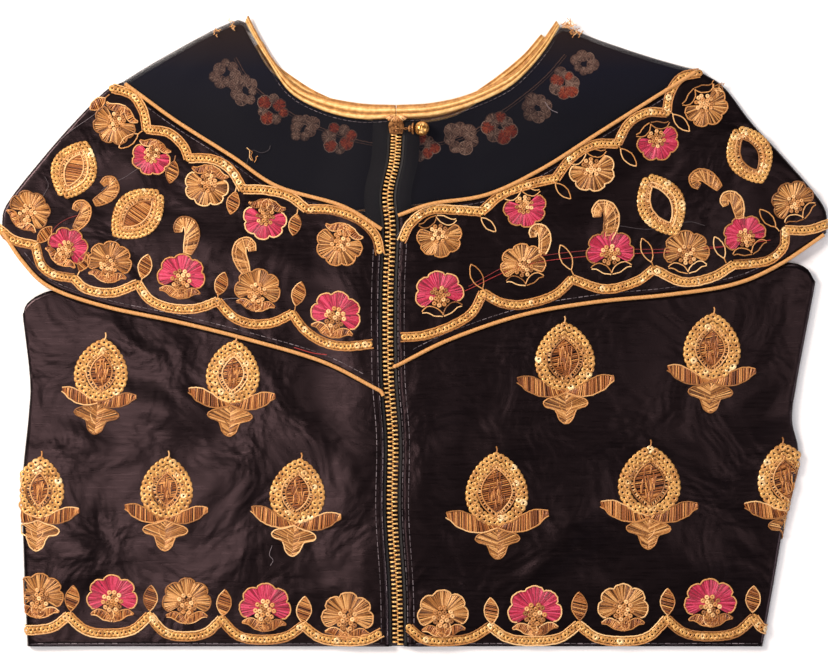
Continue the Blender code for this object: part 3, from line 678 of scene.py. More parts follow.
@dataclass(frozen=True)
class NylonNet(Finish):
    """Knitted nylon net: navy-black and see-through, browner towards the shoulders."""

    cover: float = 0.5

    def dress(self, bench: Bench) -> NodeSocket:
        """Adds holes drawn at 1.1 mm, coarser than the real 0.6 mm so that they show.

        Args:
            bench: what it works on.

        Returns:
            The output that feeds the surface.
        """
        tree, shader, place, tone = bench
        parts = add(tree, "SeparateXYZ", {"Vector": place})
        add(tree, "MapRange", {"Value": parts.outputs["Y"], "From Min": 0.118, "From Max": 0.17}, tone)
        turned = {"Vector": place, "Scale": (900.0, 900.0, 0.0), "Rotation": (0, 0, 0.6)}
        cells_at = add(tree, "Mapping", turned)
        cells = add(tree, "TexVoronoi", {"Vector": cells_at, "Scale": 1.0, "Randomness": 0.25})
        cloud = add(tree, "TexNoise", {"Vector": place, "Scale": 26.0, "Detail": 2.0})
        uneven = add(tree, "Math", {0: cells, 1: cloud}, operation="ADD")
        span = {"From Min": 0.5, "From Max": 1.2, "To Min": self.cover - 0.1, "To Max": self.cover + 0.12}
        cover = add(tree, "MapRange", {"Value": uneven} | span)
        shader.inputs["Specular IOR Level"].default_value = 0.2
        clear = add(tree, "BsdfTransparent")
        return add(tree, "MixShader", {0: cover, 1: clear, 2: shader}).outputs[0]


class Thread(Finish):
    """Rayon or zari thread: each strand a slightly different shade, ribbed by its twist."""

    def dress(self, bench: Bench) -> NodeSocket:
        """Adds the strand's own shade, and twist grains drawn at 0.8 mm, coarser than real so that they show.

        Args:
            bench: what it works on.

        Returns:
            The output that feeds the surface.
        """
        tree, shader, place, tone = bench
        shade = add(tree, "Attribute", attribute_name="shade").outputs["Fac"]
        grain = add(tree, "TexNoise", {"Vector": place, "Scale": 1200.0, "Detail": 1.0})
        part = add(tree, "Math", {0: grain, 1: 0.5, 2: shade}, operation="MULTIPLY_ADD")
        add(tree, "MapRange", {"Value": part, "From Min": 0.2, "From Max": 1.3}, tone)
        add(tree, "Bump", {"Strength": 0.5, "Distance": 0.0001, "Height": grain}, shader.inputs["Normal"])
        return shader.outputs[0]


class Sequin(Finish):
    """Punched metallised film: near-mirror gold, each disc its own tilt, and its own shade as a painted
    reflection.
    """

    def stops(self) -> tuple[tuple[float, str], ...]:
        """A long middle, so that only a few discs are painted dark or bright: painted reflections, the
        brightest as painted glints.
        """
        return ((0.0, self.dark), (0.3, self.mid), (0.85, self.mid), (1.0, self.light))

    def dress(self, bench: Bench) -> NodeSocket:
        """Adds each disc's shade, a painted reflection, with faint scuffs 2 mm across.

        Args:
            bench: what it works on.

        Returns:
            The output that feeds the surface.
        """
        tree, shader, place, tone = bench
        # Each disc's random shade paints its reflection, and the ramp's near-white end paints a few glints
        tree.links.new(add(tree, "Attribute", attribute_name="shade").outputs["Fac"], tone)
        scuff = add(tree, "TexNoise", {"Vector": place, "Scale": 500.0, "Detail": 2.0})
        rough = {"Value": scuff, "To Min": self.roughness - 0.1, "To Max": self.roughness + 0.15}
        add(tree, "MapRange", rough, shader.inputs["Roughness"])
        return shader.outputs[0]


@dataclass(frozen=True)
class CastMetal(Finish):
    """Plated die-cast metal: darker in its pits, brighter where it is rubbed."""

    grain: float = 900.0

    def dress(self, bench: Bench) -> NodeSocket:
        """Adds mottled plating with fine pits.

        Args:
            bench: what it works on.

        Returns:
            The output that feeds the surface.
        """
        tree, shader, place, tone = bench
        spots = add(tree, "TexNoise", {"Vector": place, "Scale": self.grain, "Detail": 3.0})
        edge = add(tree, "NewGeometry").outputs["Pointiness"]
        part = add(tree, "Math", {0: edge, 1: 0.8, 2: spots}, operation="MULTIPLY_ADD")
        add(tree, "MapRange", {"Value": part, "From Min": 0.65, "From Max": 1.15}, tone)
        rough = {"Value": spots, "To Min": self.roughness - 0.08, "To Max": self.roughness + 0.16}
        add(tree, "MapRange", rough, shader.inputs["Roughness"])
        add(tree, "Bump", {"Strength": 0.3, "Distance": 0.0001, "Height": spots}, shader.inputs["Normal"])
        return shader.outputs[0]


@dataclass(frozen=True)
class WovenTape(Finish):
    """Woven ribbon: ribs that run along its UV's V, and picks across them."""

    ribs: float = 4.0
    picks: float = 300.0

    def dress(self, bench: Bench) -> NodeSocket:
        """Adds ribs and picks from the tape's own UV, with worn high spots.

        Args:
            bench: what it works on.

        Returns:
            The output that feeds the surface.
        """
        tree, shader, place, tone = bench
        parts = add(tree, "SeparateXYZ", {"Vector": add(tree, "UVMap", uv_map="lengthwise")})
        waves = []
        for axis, count in (("Y", self.ribs), ("X", self.picks)):
            turned = add(tree, "Math", {0: parts.outputs[axis], 1: count * math.tau}, operation="MULTIPLY")
            waves.append(add(tree, "Math", {0: turned}, operation="SINE"))
        weave = add(tree, "Math", {0: waves[1], 1: 0.35, 2: waves[0]}, operation="MULTIPLY_ADD")
        spots = add(tree, "TexNoise", {"Vector": place, "Scale": 420.0, "Detail": 3.0})
        part = add(tree, "Math", {0: spots, 1: 2.6, 2: weave}, operation="MULTIPLY_ADD")
        add(tree, "MapRange", {"Value": part, "From Min": -0.1, "From Max": 2.6}, tone)
        add(tree, "Bump", {"Strength": 0.6, "Distance": 0.0002, "Height": part}, shader.inputs["Normal"])
        return shader.outputs[0]


class Paint(Enum):
    """The blouse's finishes, each with what it gives the eye."""

    # Near-black cloth that only lights up, mauve, where a fold faces the lamp
    SATIN = SilkSatin("black_silk_satin_woven", "#020101", "#050304", "#0d090b", 0.27, 0.0, 0.03)
    # A dull dark veil over what lies behind; the front's is all but opaque, so that the yoke stays dark:
    # painted shade in place of the shaded floor seen through the net
    NET = NylonNet("navy_black_nylon_net_knitted", "#040410", "#090918", "#2a1b17", 0.6, 0.0, 0.04, 0.34)
    FRONT_NET = NylonNet("navy_black_nylon_net_front", "#030313", "#07081f", "#241816", 0.75, 0.0, 0.03, 0.99)
    # Flat black ribs beside the teeth
    TAPE = WovenTape(
        "black_polyester_zip_tape_woven", "#050404", "#0d0a0b", "#1a1517", 0.7, 0.0, 0.1, 3.0, 500.0
    )
    # Bright gold ridges with brown between them
    NECK = WovenTape("gold_zari_ribbon_woven", "#84521e", "#cb9046", "#f4cd8a", 0.4, 0.25, 0.0, 2.0, 260.0)
    # A soft tan cord with a slanting twist
    PIPING = Thread("tan_satin_piping_twisted", "#8f5c2a", "#c98f50", "#eec28a", 0.5, 0.0, 0.1)
    # Pale gold lines that draw every motif's edge
    OUTLINE = Thread("gold_cord_couched", "#7a4a20", "#c48648", "#f4c88c", 0.42, 0.12)
    # Streaky gold-brown petals, and browner leaves with a silkier shine
    GOLD = Thread("gold_zari_thread_satin_stitch", "#5a3214", "#aa6f34", "#e2ad6c", 0.38, 0.15)
    LEAF = Thread("brown_gold_rayon_thread_satin_stitch", "#5c2f12", "#9c5a26", "#d89a56", 0.34, 0.15)
    # Strong pink petals with darker gaps between the strands
    PINK = Thread("pink_rayon_thread_satin_stitch", "#640b20", "#aa1a3c", "#d6486a", 0.42, 0.0, 0.15)
    # The dull wrong side of gold and red stitching, greyed by the net over it, and painted lighter than the
    # thread to make up for the net's shade
    TRIM = Thread("dull_gold_trim_reverse_side", "#4e3022", "#ab7e68", "#deb69e", 0.6, 0.0)
    TRIM_RED = Thread("dull_red_trim_reverse_side", "#7a2410", "#d84c22", "#f0804e", 0.6, 0.0)
    # Thin matt threads, hardly lighter than the cloth, and a few red ones left in
    SEWING = Thread("grey_mauve_sewing_thread", "#2c2427", "#5a4e52", "#8a7e82", 0.6, 0.0)
    RED_THREAD = Thread("red_tacking_thread", "#5c0f10", "#8e1d1c", "#b8342e", 0.6, 0.0)
    # Pale gold discs, of which a few flash: painted glints in their colour, on top of the real ones from
    # their tilt
    SEQUIN = Sequin("gold_film_sequins_punched", "#b0783c", "#d09a54", "#fbdca4", 0.28, 0.25)
    # Warm yellow teeth, worn bright on top
    BRASS = CastMetal("brass_zip_teeth_stamped", "#8a5524", "#d29a55", "#f7d08c", 0.34, 0.5, 0.0, 700.0)
    # Brown metal with rubbed edges on the slider, and a brighter, smoother bead
    BRONZE = CastMetal("antique_bronze_die_cast", "#3a1e0c", "#7a4f2c", "#c08a52", 0.4, 0.7, 0.0, 900.0)
    BEAD = CastMetal("polished_bronze_bead_plated", "#7a481a", "#c48a44", "#f4c680", 0.24, 0.8, 0.0, 500.0)

    def material(self) -> Material:
        """The finish's material."""
        return self.value.material()


class Bodies(Enum):
    """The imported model's bodies."""

    BLOUSE = "blouse"
    PULL = "zip_pull"


CLOTH_THICK = 0.9  # satin with its backing
NET_THICK = 0.35
CLOTH_TOP = CLOTH_THICK / 2
FRONT_SHELL_MID = 0.62  # the front layer, with room under it for its embroidery
FRONT_SHELL_THICK = 0.5
YOKE_TOP_GAP = 2.5  # the front yoke stops short of the shoulder
YOKE_PAST_SEAM = 0.044  # and runs on under the shoulder strip, as a share of the back yoke's width
ROUND_TO = 1.2  # embroidery is kept down to this height round a fold
FRONT_UNDER = FRONT_SHELL_MID - FRONT_SHELL_THICK / 2


def new_object(name: str, data: Mesh, finish: Material | None) -> Object:
    """A mesh object at the origin, linked to the scene and dressed."""
    made = bpy.data.objects.new(name, data)
    if finish is not None:
        data.materials.clear()
        data.materials.append(finish)
    bpy.context.scene.collection.objects.link(made)
    return made


def mesh_of(name: str, points: Sequence[Sequence[float]], edges: list, faces: list) -> Mesh:
    """A mesh from points in millimetres."""
    data = bpy.data.meshes.new(name)
    data.from_pydata([tuple(c * MM for c in p) for p in points], edges, faces)
    data.update()
    return data


def strip_mesh(name: str, rows: list[list[Vector]], lengthwise: bool = False) -> Mesh:
    """A sheet of quads through rows of points, facing up or out.

    Args:
        name: the mesh's name.
        rows: equal rows of points, in millimetres.
        lengthwise: whether it gets a UV map whose U runs along the rows' order and V across each row.

    Returns:
        The mesh.
    """
    wide = len(rows[0])
    points = [p for row in rows for p in row]
    faces = [
        (r * wide + i, r * wide + i + 1, (r + 1) * wide + i + 1, (r + 1) * wide + i)
        for r in range(len(rows) - 1)
        for i in range(wide - 1)
    ]
    data = mesh_of(name, points, [], faces)
    mesh = bmesh.new()
    mesh.from_mesh(data)
    if lengthwise:
        layer = mesh.loops.layers.uv.new("lengthwise")
        for face in mesh.faces:
            for loop in face.loops:
                r, i = divmod(loop.vert.index, wide)
                loop[layer].uv = (r / (len(rows) - 1), i / (wide - 1))
    bmesh.ops.recalc_face_normals(mesh, faces=mesh.faces[:])
    if sum(face.normal.z * face.calc_area() for face in mesh.faces) < 0:
        bmesh.ops.reverse_faces(mesh, faces=mesh.faces[:])
    mesh.to_mesh(data)
    mesh.free()
    data.shade_smooth()
    return data


def walled(piece: Object, thickness: float) -> Object:
    """Gives a sheet its thickness, half to each side."""
    wall = piece.modifiers.new("wall", "SOLIDIFY")
    wall.thickness = thickness * MM
    wall.offset = 0.0
    return piece


def group_tree(name: str, sockets: Sequence[tuple[str, str, object]]) -> tuple[NodeTree, NodeOutputs]:
    """A Geometry Nodes tree with its named inputs.

    Args:
        name: the tree's name.
        sockets: name, kind of socket and default of each input after the geometry.

    Returns:
        The tree and its inputs' sockets.
    """
    tree = bpy.data.node_groups.new(name, "GeometryNodeTree")
    tree.interface.new_socket("Geometry", in_out="INPUT", socket_type="NodeSocketGeometry")
    for label, kind, default in sockets:
        socket = tree.interface.new_socket(label, in_out="INPUT", socket_type="NodeSocket" + kind)
        if default is not None:
            socket.default_value = default
    tree.interface.new_socket("Geometry", in_out="OUTPUT", socket_type="NodeSocketGeometry")
    return tree, add(tree, "NodeGroupInput").outputs


def close_tree(tree: NodeTree, geometry: Node, finish: NodeSocket) -> None:
    """Ends a tree in Realize Instances and Set Material.

    Args:
        tree: the tree.
        geometry: the node whose first output it ends with.
        finish: the socket that gives the material.
    """
    real = add(tree, "GeometryNodeRealizeInstances", {"Geometry": geometry})
    dressed = add(tree, "GeometryNodeSetMaterial", {"Geometry": real, "Material": finish})
    add(tree, "NodeGroupOutput", {"Geometry": dressed})


def thread_tree() -> NodeTree:
    """Sweeps a round thread along every line of the geometry, as thick as the points' girth.

    Returns:
        The tree, with inputs for the thread's sides and finish.
    """
    tree, given = group_tree("swept_threads", [("Sides", "Int", 5), ("Finish", "Material", None)])
    line = add(tree, "GeometryNodeMeshToCurve", {"Mesh": given["Geometry"]})
    girth = add(tree, "GeometryNodeInputNamedAttribute", {"Name": "girth"}, data_type="FLOAT")
    thick = add(tree, "GeometryNodeSetCurveRadius", {"Curve": line, "Radius": girth})
    ring = add(tree, "GeometryNodeCurvePrimitiveCircle", {"Resolution": given["Sides"], "Radius": 1.0})
    shape = {"Curve": thick, "Profile Curve": ring, "Fill Caps": True}
    swept = add(tree, "GeometryNodeCurveToMesh", shape)
    if "Scale" in swept.inputs:
        tree.links.new(girth.outputs[0], swept.inputs["Scale"])
    close_tree(tree, swept, given["Finish"])
    return tree


def laid_tree() -> NodeTree:
    """Lays a copy of a small piece on every point, turned by the point's own turn and a random tilt.

    Returns:
        The tree, with inputs for the piece, the most it tilts, the seed and the finish.
    """
    tree, given = group_tree(
        "laid_pieces",
        [("Piece", "Object", None), ("Tilt", "Float", 0.0), ("Seed", "Int", 7), ("Finish", "Material", None)],
    )
    piece = add(tree, "GeometryNodeObjectInfo", {"Object": given["Piece"]})
    lowest = add(tree, "Math", {0: given["Tilt"], 1: -1.0}, operation="MULTIPLY")
    low, high = (add(tree, "CombineXYZ", {"X": v, "Y": v}) for v in (lowest, given["Tilt"]))
    span = {"Min": low, "Max": high, "Seed": given["Seed"]}
    tilt = add(tree, "FunctionNodeRandomValue", span, data_type="FLOAT_VECTOR")
    own = add(tree, "GeometryNodeInputNamedAttribute", {"Name": "turn"}, data_type="FLOAT_VECTOR")
    turn = add(tree, "VectorMath", {0: own, 1: tilt}, operation="ADD")
    facing = add(tree, "FunctionNodeEulerToRotation", {"Euler": turn})
    size = add(tree, "GeometryNodeInputNamedAttribute", {"Name": "size"}, data_type="FLOAT")
    copies = {"Points": given["Geometry"], "Instance": piece.outputs["Geometry"]}
    laid = add(tree, "GeometryNodeInstanceOnPoints", copies | {"Rotation": facing, "Scale": size})
    close_tree(tree, laid, given["Finish"])
    return tree


def grown(name: str, data: Mesh, tree: NodeTree, values: dict[str, object]) -> Object:
    """Runs a tree on a mesh and keeps the result as a plain mesh.

    Args:
        name: the finished piece's name.
        data: the lines or points that the tree works from.
        tree: the Geometry Nodes tree.
        values: its named inputs.

    Returns:
        The finished piece.
    """
    seedbed = new_object(name + "_lines", data, None)
    modifier = seedbed.modifiers.new("grow", "NODES")
    modifier.node_group = tree
    for item in tree.interface.items_tree:
        if item.item_type == "SOCKET" and item.in_out == "INPUT" and item.name in values:
            modifier[item.identifier] = values[item.name]
    bpy.context.view_layer.update()
    graph = bpy.context.evaluated_depsgraph_get()
    mesh = bpy.data.meshes.new_from_object(seedbed.evaluated_get(graph))
    mesh.name = name
    bpy.data.objects.remove(seedbed)
    mesh.shade_smooth()
    return new_object(name, mesh, None)


class Stroke(NamedTuple):
    """One laid thread: places with their lift over the cloth, its half width and its shade."""

    points: list[tuple[float, float, float]]
    girth: float
    shade: float


class Spot(NamedTuple):
    """One laid sequin or knot."""

    x: float
    y: float
    lift: float
    size: float
    shade: float


class Ground:
    """The back of the cloth that embroidery lies on, round its folds as well."""

    def __init__(self, panels: dict[str, Panel]) -> None:
        """Keeps each side's fold line."""
        self.folds = {side: panel.far.points for side, panel in panels.items()}

    def place(self, x: float, y: float, lift: float) -> Vector:
        """Where a thread lies.

        Args:
            x: place across the blouse, as if the cloth went on flat past its fold.
            y: place up the blouse.
            lift: height over the cloth's face.

        Returns:
            The point in space, in millimetres.
        """
        side = "left" if x < 0 else "right"
        fold = self.folds[side]
        if abs(x) > 140.0:
            beyond, edge, outward = self.past_fold(Vector((x, y)), fold, SIGN[side])
            if beyond > 0:
                middle = FORM.at(edge.x, edge.y)
                radius = (middle - FRONT_MID) / 2
                turn = min(beyond / (radius + CLOTH_TOP), math.pi)
                reach = (radius + CLOTH_TOP + lift) * math.sin(turn)
                tall = FRONT_MID + radius + (radius + CLOTH_TOP + lift) * math.cos(turn)
                under = max(beyond - math.pi * (radius + CLOTH_TOP), 0.0)
                flat = edge + outward * (reach - under)
                return Vector((flat.x, flat.y, max(tall, 0.12)))
        return Vector((x, y, FORM.at(x, y) + CLOTH_TOP + lift))

    @staticmethod
    def past_fold(point: Vector, fold: list[Vector], sign: float) -> tuple[float, Vector, Vector]:
        """How far a place lies past a fold line, the line's nearest point and the way out."""
        best = None
        for a, b in zip(fold, fold[1:]):
            run = b - a
            share = min(max((point - a).dot(run) / max(run.length_squared, 1e-9), 0.0), 1.0)
            near = a + run * share
            gap = (point - near).length
            if best is None or gap < best[0]:
                outward = Vector((run.y, -run.x)).normalized()
                if outward.x * sign < 0:
                    outward.negate()
                best = (gap, near, outward)
        gap, near, outward = best
        return math.copysign(gap, (point - near).dot(outward)), near, outward


class Underside:
    """The front's outer face, which lies on the floor."""

    def place(self, x: float, y: float, lift: float) -> Vector:
        """Where a thread lies under the front."""
        return Vector((x, y, max(FRONT_UNDER - lift * 0.4, 0.02)))


class InnerFront:
    """The front yoke's inner face, where the back of its stitching shows through the net."""

    def place(self, x: float, y: float, lift: float) -> Vector:
        """Where a thread lies on the front's inner face."""
        return Vector((x, y, FRONT_SHELL_MID + NET_THICK / 2 + lift * 0.5))


def teardrop(wide: float, tall: float, y: float = 0.0, egg: float = 0.45, count: int = 40) -> Route:
    """A closed egg-shaped drop, its narrow end at the top."""
    turns = [math.tau * i / count for i in range(count + 1)]
    outs = [math.sin(turn) * abs(math.sin(turn / 2)) ** egg for turn in turns]
    widest = max(outs)
    return Route([(wide / 2 * out / widest, y + tall / 2 * math.cos(turn)) for out, turn in zip(outs, turns)])


def almond_edge(length: float, wide: float, side: float) -> Route:
    """One edge of an almond that lies along +X from the origin."""
    return Route([(length * t, side * wide / 2 * math.sin(math.pi * t) ** 0.8) for t in shares(14)])


def almond(wide: float, tall: float, y: float = 0.0, full: float = 0.8) -> tuple[Route, Route]:
    """The left and right edges of an almond that stands on its point."""
    left = [(-wide / 2 * math.sin(math.pi * t) ** full, y + tall * (t - 0.5)) for t in shares(24)]
    return Route(left), Route([(-x, v) for x, v in left])


def spindle(spine: Sequence[Pair], halves: Sequence[float]) -> tuple[Route, Route]:
    """The two edges of a bent figure.

    Args:
        spine: places along its middle.
        halves: its half width at each of them.

    Returns:
        The edge to the left of the spine and the one to its right.
    """
    line = smooth(spine, 5)
    left, right = [], []
    for share in shares(24):
        p, q = line.at(share - 0.02), line.at(share + 0.02)
        half = float(np.interp(share, shares(len(halves) - 1), halves))
        run = (q - p).normalized()
        normal = Vector((-run.y, run.x))
        middle = line.at(share)
        left.append(tuple(middle + normal * half))
        right.append(tuple(middle - normal * half))
    return smooth(left[::3], 4), smooth(right[::3], 4)


class Motif:
    """One embroidered figure, drawn flat round its own origin."""

    def __init__(self, rng: random.Random) -> None:
        """Starts empty."""
        self.rng = rng
        self.strokes: dict[Paint, list[Stroke]] = {}
        self.sequins: list[Spot] = []
        self.knots: list[Spot] = []

    def stroke(self, paint: Paint, points: list[tuple[float, float, float]], girth: float) -> None:
        """Adds one thread."""
        self.strokes.setdefault(paint, []).append(Stroke(points, girth, self.rng.random()))

    def cord(self, line: Route, paint: Paint = Paint.OUTLINE, girth: float = 0.42, step: float = 1.3) -> None:
        """Couches a cord along a line, a little unevenly."""
        wobble = [(self.rng.uniform(-0.12, 0.12), self.rng.uniform(-0.12, 0.12)) for _ in line.spaced(step)]
        points = [
            (p.x + w[0], p.y + w[1], girth * 1.2 + abs(w[0])) for p, w in zip(line.spaced(step), wobble)
        ]
        self.stroke(paint, points, girth)

    def bars(
        self, first: Route, second: Route, paint: Paint,
        pitch: float = 0.95, girth: float = 0.4, slant: float = 0.0,
    ) -> None:
        """Fills between two edges with satin stitches.

        Args:
            first: edge that the stitches start from.
            second: edge that they reach.
            paint: their thread.
            pitch: distance between neighbours.
            girth: half a stitch's width.
            slant: how far along the second edge each stitch leans, as a share.
        """
        count = max(3, round(max(first.length, second.length) / pitch))
        for i in range(count + 1):
            share = (i + self.rng.uniform(-0.3, 0.3)) / count
            a, b = first.at(share), second.at(share + slant)
            if (b - a).length < 0.5:
                continue
            middle = a.lerp(b, 0.5 + self.rng.uniform(-0.06, 0.06))
            bow = 0.45 + self.rng.uniform(0.0, 0.25)
            self.stroke(paint, [(a.x, a.y, 0.08), (middle.x, middle.y, bow), (b.x, b.y, 0.08)], girth)

    def sequin_row(self, line: Route, size: float, step: float, lift: float = 0.3) -> None:
        """Lays overlapping sequins along a line."""
        for i, p in enumerate(line.spaced(step)[:-1]):
            height = lift + 0.14 * (i % 2) + self.rng.uniform(0, 0.12)
            self.sequins.append(Spot(p.x, p.y, height, size, self.rng.random() ** 1.3))

    def knot(self, x: float, y: float, size: float, lift: float = 0.7) -> None:
        """Adds one French knot."""
        self.knots.append(Spot(x, y, lift, size, self.rng.random()))


def leaf(motif: Motif, length: float, wide: float, turn: float, x: float, y: float) -> None:
    """A satin-stitched leaf with its cord.

    Args:
        motif: what it is added to.
        length: its length.
        wide: its width.
        turn: its heading in degrees.
        x: place of its foot.
        y: place of its foot.
    """
    heading = math.radians(turn)
    c, s = math.cos(heading), math.sin(heading)

    def laid(line: Route) -> Route:
        """The line turned to the leaf's heading and moved to its foot."""
        return Route([(x + p.x * c - p.y * s, y + p.x * s + p.y * c) for p in line.points])

    over = laid(almond_edge(length, wide, 1.0))
    under = laid(almond_edge(length, wide, -1.0))
    motif.bars(under, over, Paint.LEAF, 1.0, 0.42, slant=0.12)
    motif.cord(over, girth=0.36)
    motif.cord(under, girth=0.36)


def flower(rng: random.Random, petals: Paint, reach: float = 14.0, filled_base: bool = True) -> Motif:
    """A five-lobed fan of radiating threads over two base leaves.

    Args:
        rng: source of the hand's unevenness.
        petals: the petals' thread.
        reach: the fan's radius.
        filled_base: whether the base leaves are stitched full or only outlined.

    Returns:
        The motif, centred on the knotted middle.
    """
    motif = Motif(rng)
    low, high, lobes = -34.0, 214.0, 5
    rim = []
    for i in range(61):
        share = i / 60
        turn = math.radians(low + (high - low) * share)
        lobe = abs(math.sin(math.pi * share * lobes))
        squash = 0.88 if math.sin(turn) > 0 else 1.0
        radius = reach * (0.83 + 0.17 * lobe**0.5) * (1 + rng.uniform(-0.015, 0.015))
        rim.append((radius * math.cos(turn), reach * 0.05 + radius * math.sin(turn) * squash))
    edge = Route(rim)
    core = Route([(p.x * 0.24, p.y * 0.24) for p in edge.points])
    dense = petals is Paint.PINK
    motif.bars(core, edge, petals, 0.92 if dense else 1.05, 0.5 if dense else 0.42)
    if dense:
        inner = Route([(p.x * 0.2, p.y * 0.2) for p in edge.points])
        middle = Route([(p.x * 0.93, p.y * 0.93) for p in edge.points])
        motif.bars(inner, middle, petals, 1.3, 0.45)
    motif.cord(edge, girth=0.45)
    for count, ring, size, start in ((1, 0.0, 0.11, 0.0), (6, 0.19, 0.112, 0.2), (10, 0.36, 0.106, 0.0)):
        for i in range(count):
            turn = math.tau * i / count + start + rng.uniform(-0.12, 0.12)
            motif.knot(reach * ring * math.cos(turn), reach * (ring * math.sin(turn) - 0.12), reach * size)
    foot = -reach * 0.93
    for sign in (-1, 1):
        spine = [(0.0, 0.02), (0.26, 0.2), (0.56, 0.36), (0.84, 0.3)]
        places = [(sign * reach * u, foot + reach * v) for u, v in spine]
        over, under = spindle(places, [0.5, reach * 0.17, reach * 0.15, 0.4])
        motif.cord(over, girth=0.36)
        motif.cord(under, girth=0.36)
        if filled_base:
            motif.bars(under, over, Paint.LEAF, 1.0, 0.42, slant=0.1)
            leaf(motif, reach * 0.62, reach * 0.34, 90 - sign * 16, sign * 0.4, foot)
    return motif


def buti(rng: random.Random, drop_wide: float, drop_tall: float, leaf_reach: float) -> Motif:
    """A sequinned drop over a pair of curved leaves and a three-lobed base.

    Args:
        rng: source of the hand's unevenness.
        drop_wide: the drop's width.
        drop_tall: the drop's height.
        leaf_reach: a leaf's length.

    Returns:
        The motif, centred on the drop.
    """
    motif = Motif(rng)
    motif.sequin_row(teardrop(drop_wide - 4.6, drop_tall - 4.4), 2.3, 3.0, 0.3)
    motif.sequin_row(teardrop(drop_wide - 10.5, drop_tall - 11.0, y=-1.2), 2.0, 3.1, 0.5)
    for inset in (13.5, 18.0):
        for edge in almond(drop_wide - inset, drop_tall - inset + 2.0, -1.0):
            motif.cord(edge, girth=0.46)
    outer = almond(drop_wide - 14.0, drop_tall - 12.5, -1.0)
    inner = almond(drop_wide - 18.5, drop_tall - 17.0, -1.0)
    for first, second in zip(outer, inner):
        motif.bars(first, second, Paint.OUTLINE, 1.5, 0.4)
    motif.bars(*almond(drop_wide - 19.0, drop_tall - 18.0, -1.2), Paint.LEAF, 1.2, 0.42, 0.1)
    for _ in range(34):
        turn, out = rng.uniform(0, math.tau), rng.random() ** 0.6
        x = (drop_wide - 22) / 2 * out * math.cos(turn) * 0.8
        y = (drop_tall - 23) / 2 * out * math.sin(turn) - 1.4
        lean = rng.uniform(-0.9, 0.9)
        motif.stroke(Paint.LEAF, [(x, y - 2.2, 0.5), (x + lean / 2, y, 1.05), (x + lean, y + 2.2, 0.5)], 0.42)
    foot = -drop_tall / 2 - 0.2
    for sign in (-1, 1):
        spine = [(0.0, 0.0), (0.3, 0.0), (0.58, 0.1), (0.84, 0.22), (0.97, 0.24)]
        places = [(sign * leaf_reach * u, foot + leaf_reach * v) for u, v in spine]
        over, under = spindle(places, [leaf_reach * h for h in (0.02, 0.1, 0.155, 0.15, 0.05)])
        motif.bars(under, over, Paint.LEAF, 1.05, 0.46, 0.06 * sign)
        motif.cord(over, girth=0.4)
        motif.cord(under, girth=0.4)
    base = [
        (0, 0), (-5, -2), (-9.5, -3), (-12.4, -5.4), (-10.4, -7.8), (-6.6, -8.4), (-5, -11), (-3.6, -14.8),
        (0, -17), (3.6, -14.8), (5, -11), (6.6, -8.4), (10.4, -7.8), (12.4, -5.4), (9.5, -3), (5, -2), (0, 0),
    ]
    outline = smooth([(x, y + foot - 0.8) for x, y in base], 3)
    half = len(outline.points) // 2
    left, right = Route(outline.points[: half + 1]), Route(outline.points[half:][::-1])
    middle = Route([(0.0, foot - 0.6), (0.0, foot - 16.6)])
    motif.bars(left, middle, Paint.GOLD, 1.0, 0.4, 0.16)
    motif.bars(right, middle, Paint.GOLD, 1.0, 0.4, 0.16)
    motif.cord(outline, girth=0.4)
    for x in (-3.2, 3.2):
        vein = [(0, foot - 2.5), (x, foot - 5.0), (x * 0.9, foot - 9.0), (0, foot - 12.0)]
        motif.cord(smooth(vein, 4), girth=0.34)
    tip = [(0, drop_tall / 2 - 1), (0.7, drop_tall / 2 + 1.4), (0.2, drop_tall / 2 + 3.2)]
    motif.cord(smooth(tip, 3), girth=0.45)
    return motif


def medallion(rng: random.Random, wide: float, tall: float, hollow: bool) -> Motif:
    """A sequinned lemon shape with corded rings, its middle stitched or left open."""
    motif = Motif(rng)
    insets = (3.6, 8.0, 9.6, 10.0, 14.6, 15.0)
    rings = {inset: almond(wide - inset, tall - inset, full=0.78) for inset in insets}
    for left, right in (rings[3.6], rings[8.0]):
        motif.sequin_row(left, 2.1, 2.3, 0.3)
        motif.sequin_row(right, 2.1, 2.3, 0.36)
    for inset in (9.6, 15.0):
        for edge in rings[inset]:
            motif.cord(edge, girth=0.5)
    for outer, inner in zip(rings[10.0], rings[14.6]):
        motif.bars(outer, inner, Paint.OUTLINE, 1.2, 0.42)
    if not hollow:
        motif.bars(*rings[15.0], Paint.LEAF, 0.9, 0.45, 0.1)
    return motif


def paisley(rng: random.Random, tall: float = 21.0) -> Motif:
    """A comma-shaped figure, corded twice and filled across."""
    motif = Motif(rng)
    spine = [(0.02, -0.5), (0.09, -0.28), (0.15, -0.02), (0.11, 0.21), (-0.04, 0.34), (-0.21, 0.25)]
    spine.append((-0.22, 0.07))
    halves = (0.1, 0.17, 0.19, 0.18, 0.16, 0.13, 0.09)
    first, second = spindle([(x * tall, y * tall) for x, y in spine], [half * tall for half in halves])
    motif.bars(first, second, Paint.GOLD, 1.05, 0.46)
    for line in (first, second):
        motif.cord(line, girth=0.46)
    motif.cord(Route([p.lerp(q, 0.25) for p, q in zip(first.points, second.points)]), girth=0.34)
    motif.cord(Route([p.lerp(q, 0.75) for p, q in zip(first.points, second.points)]), girth=0.34)
    return motif


def cusp_leaf(rng: random.Random, tall: float = 15.0, filled: bool = True) -> Motif:
    """A leaf that stands on a cusp, or only its loop of cord."""
    motif = Motif(rng)
    if filled:
        leaf(motif, tall, tall * 0.55, 90.0, 0.0, -tall / 2)
    else:
        for sign in (-1.0, 1.0):
            edge = almond_edge(tall, tall * 0.42, sign)
            motif.cord(Route([(p.y, p.x - tall / 2) for p in edge.points]), girth=0.36)
    motif.cord(Route([(0.0, -tall / 2 - 3.0), (0.0, -tall / 2)]), girth=0.36)
    return motif


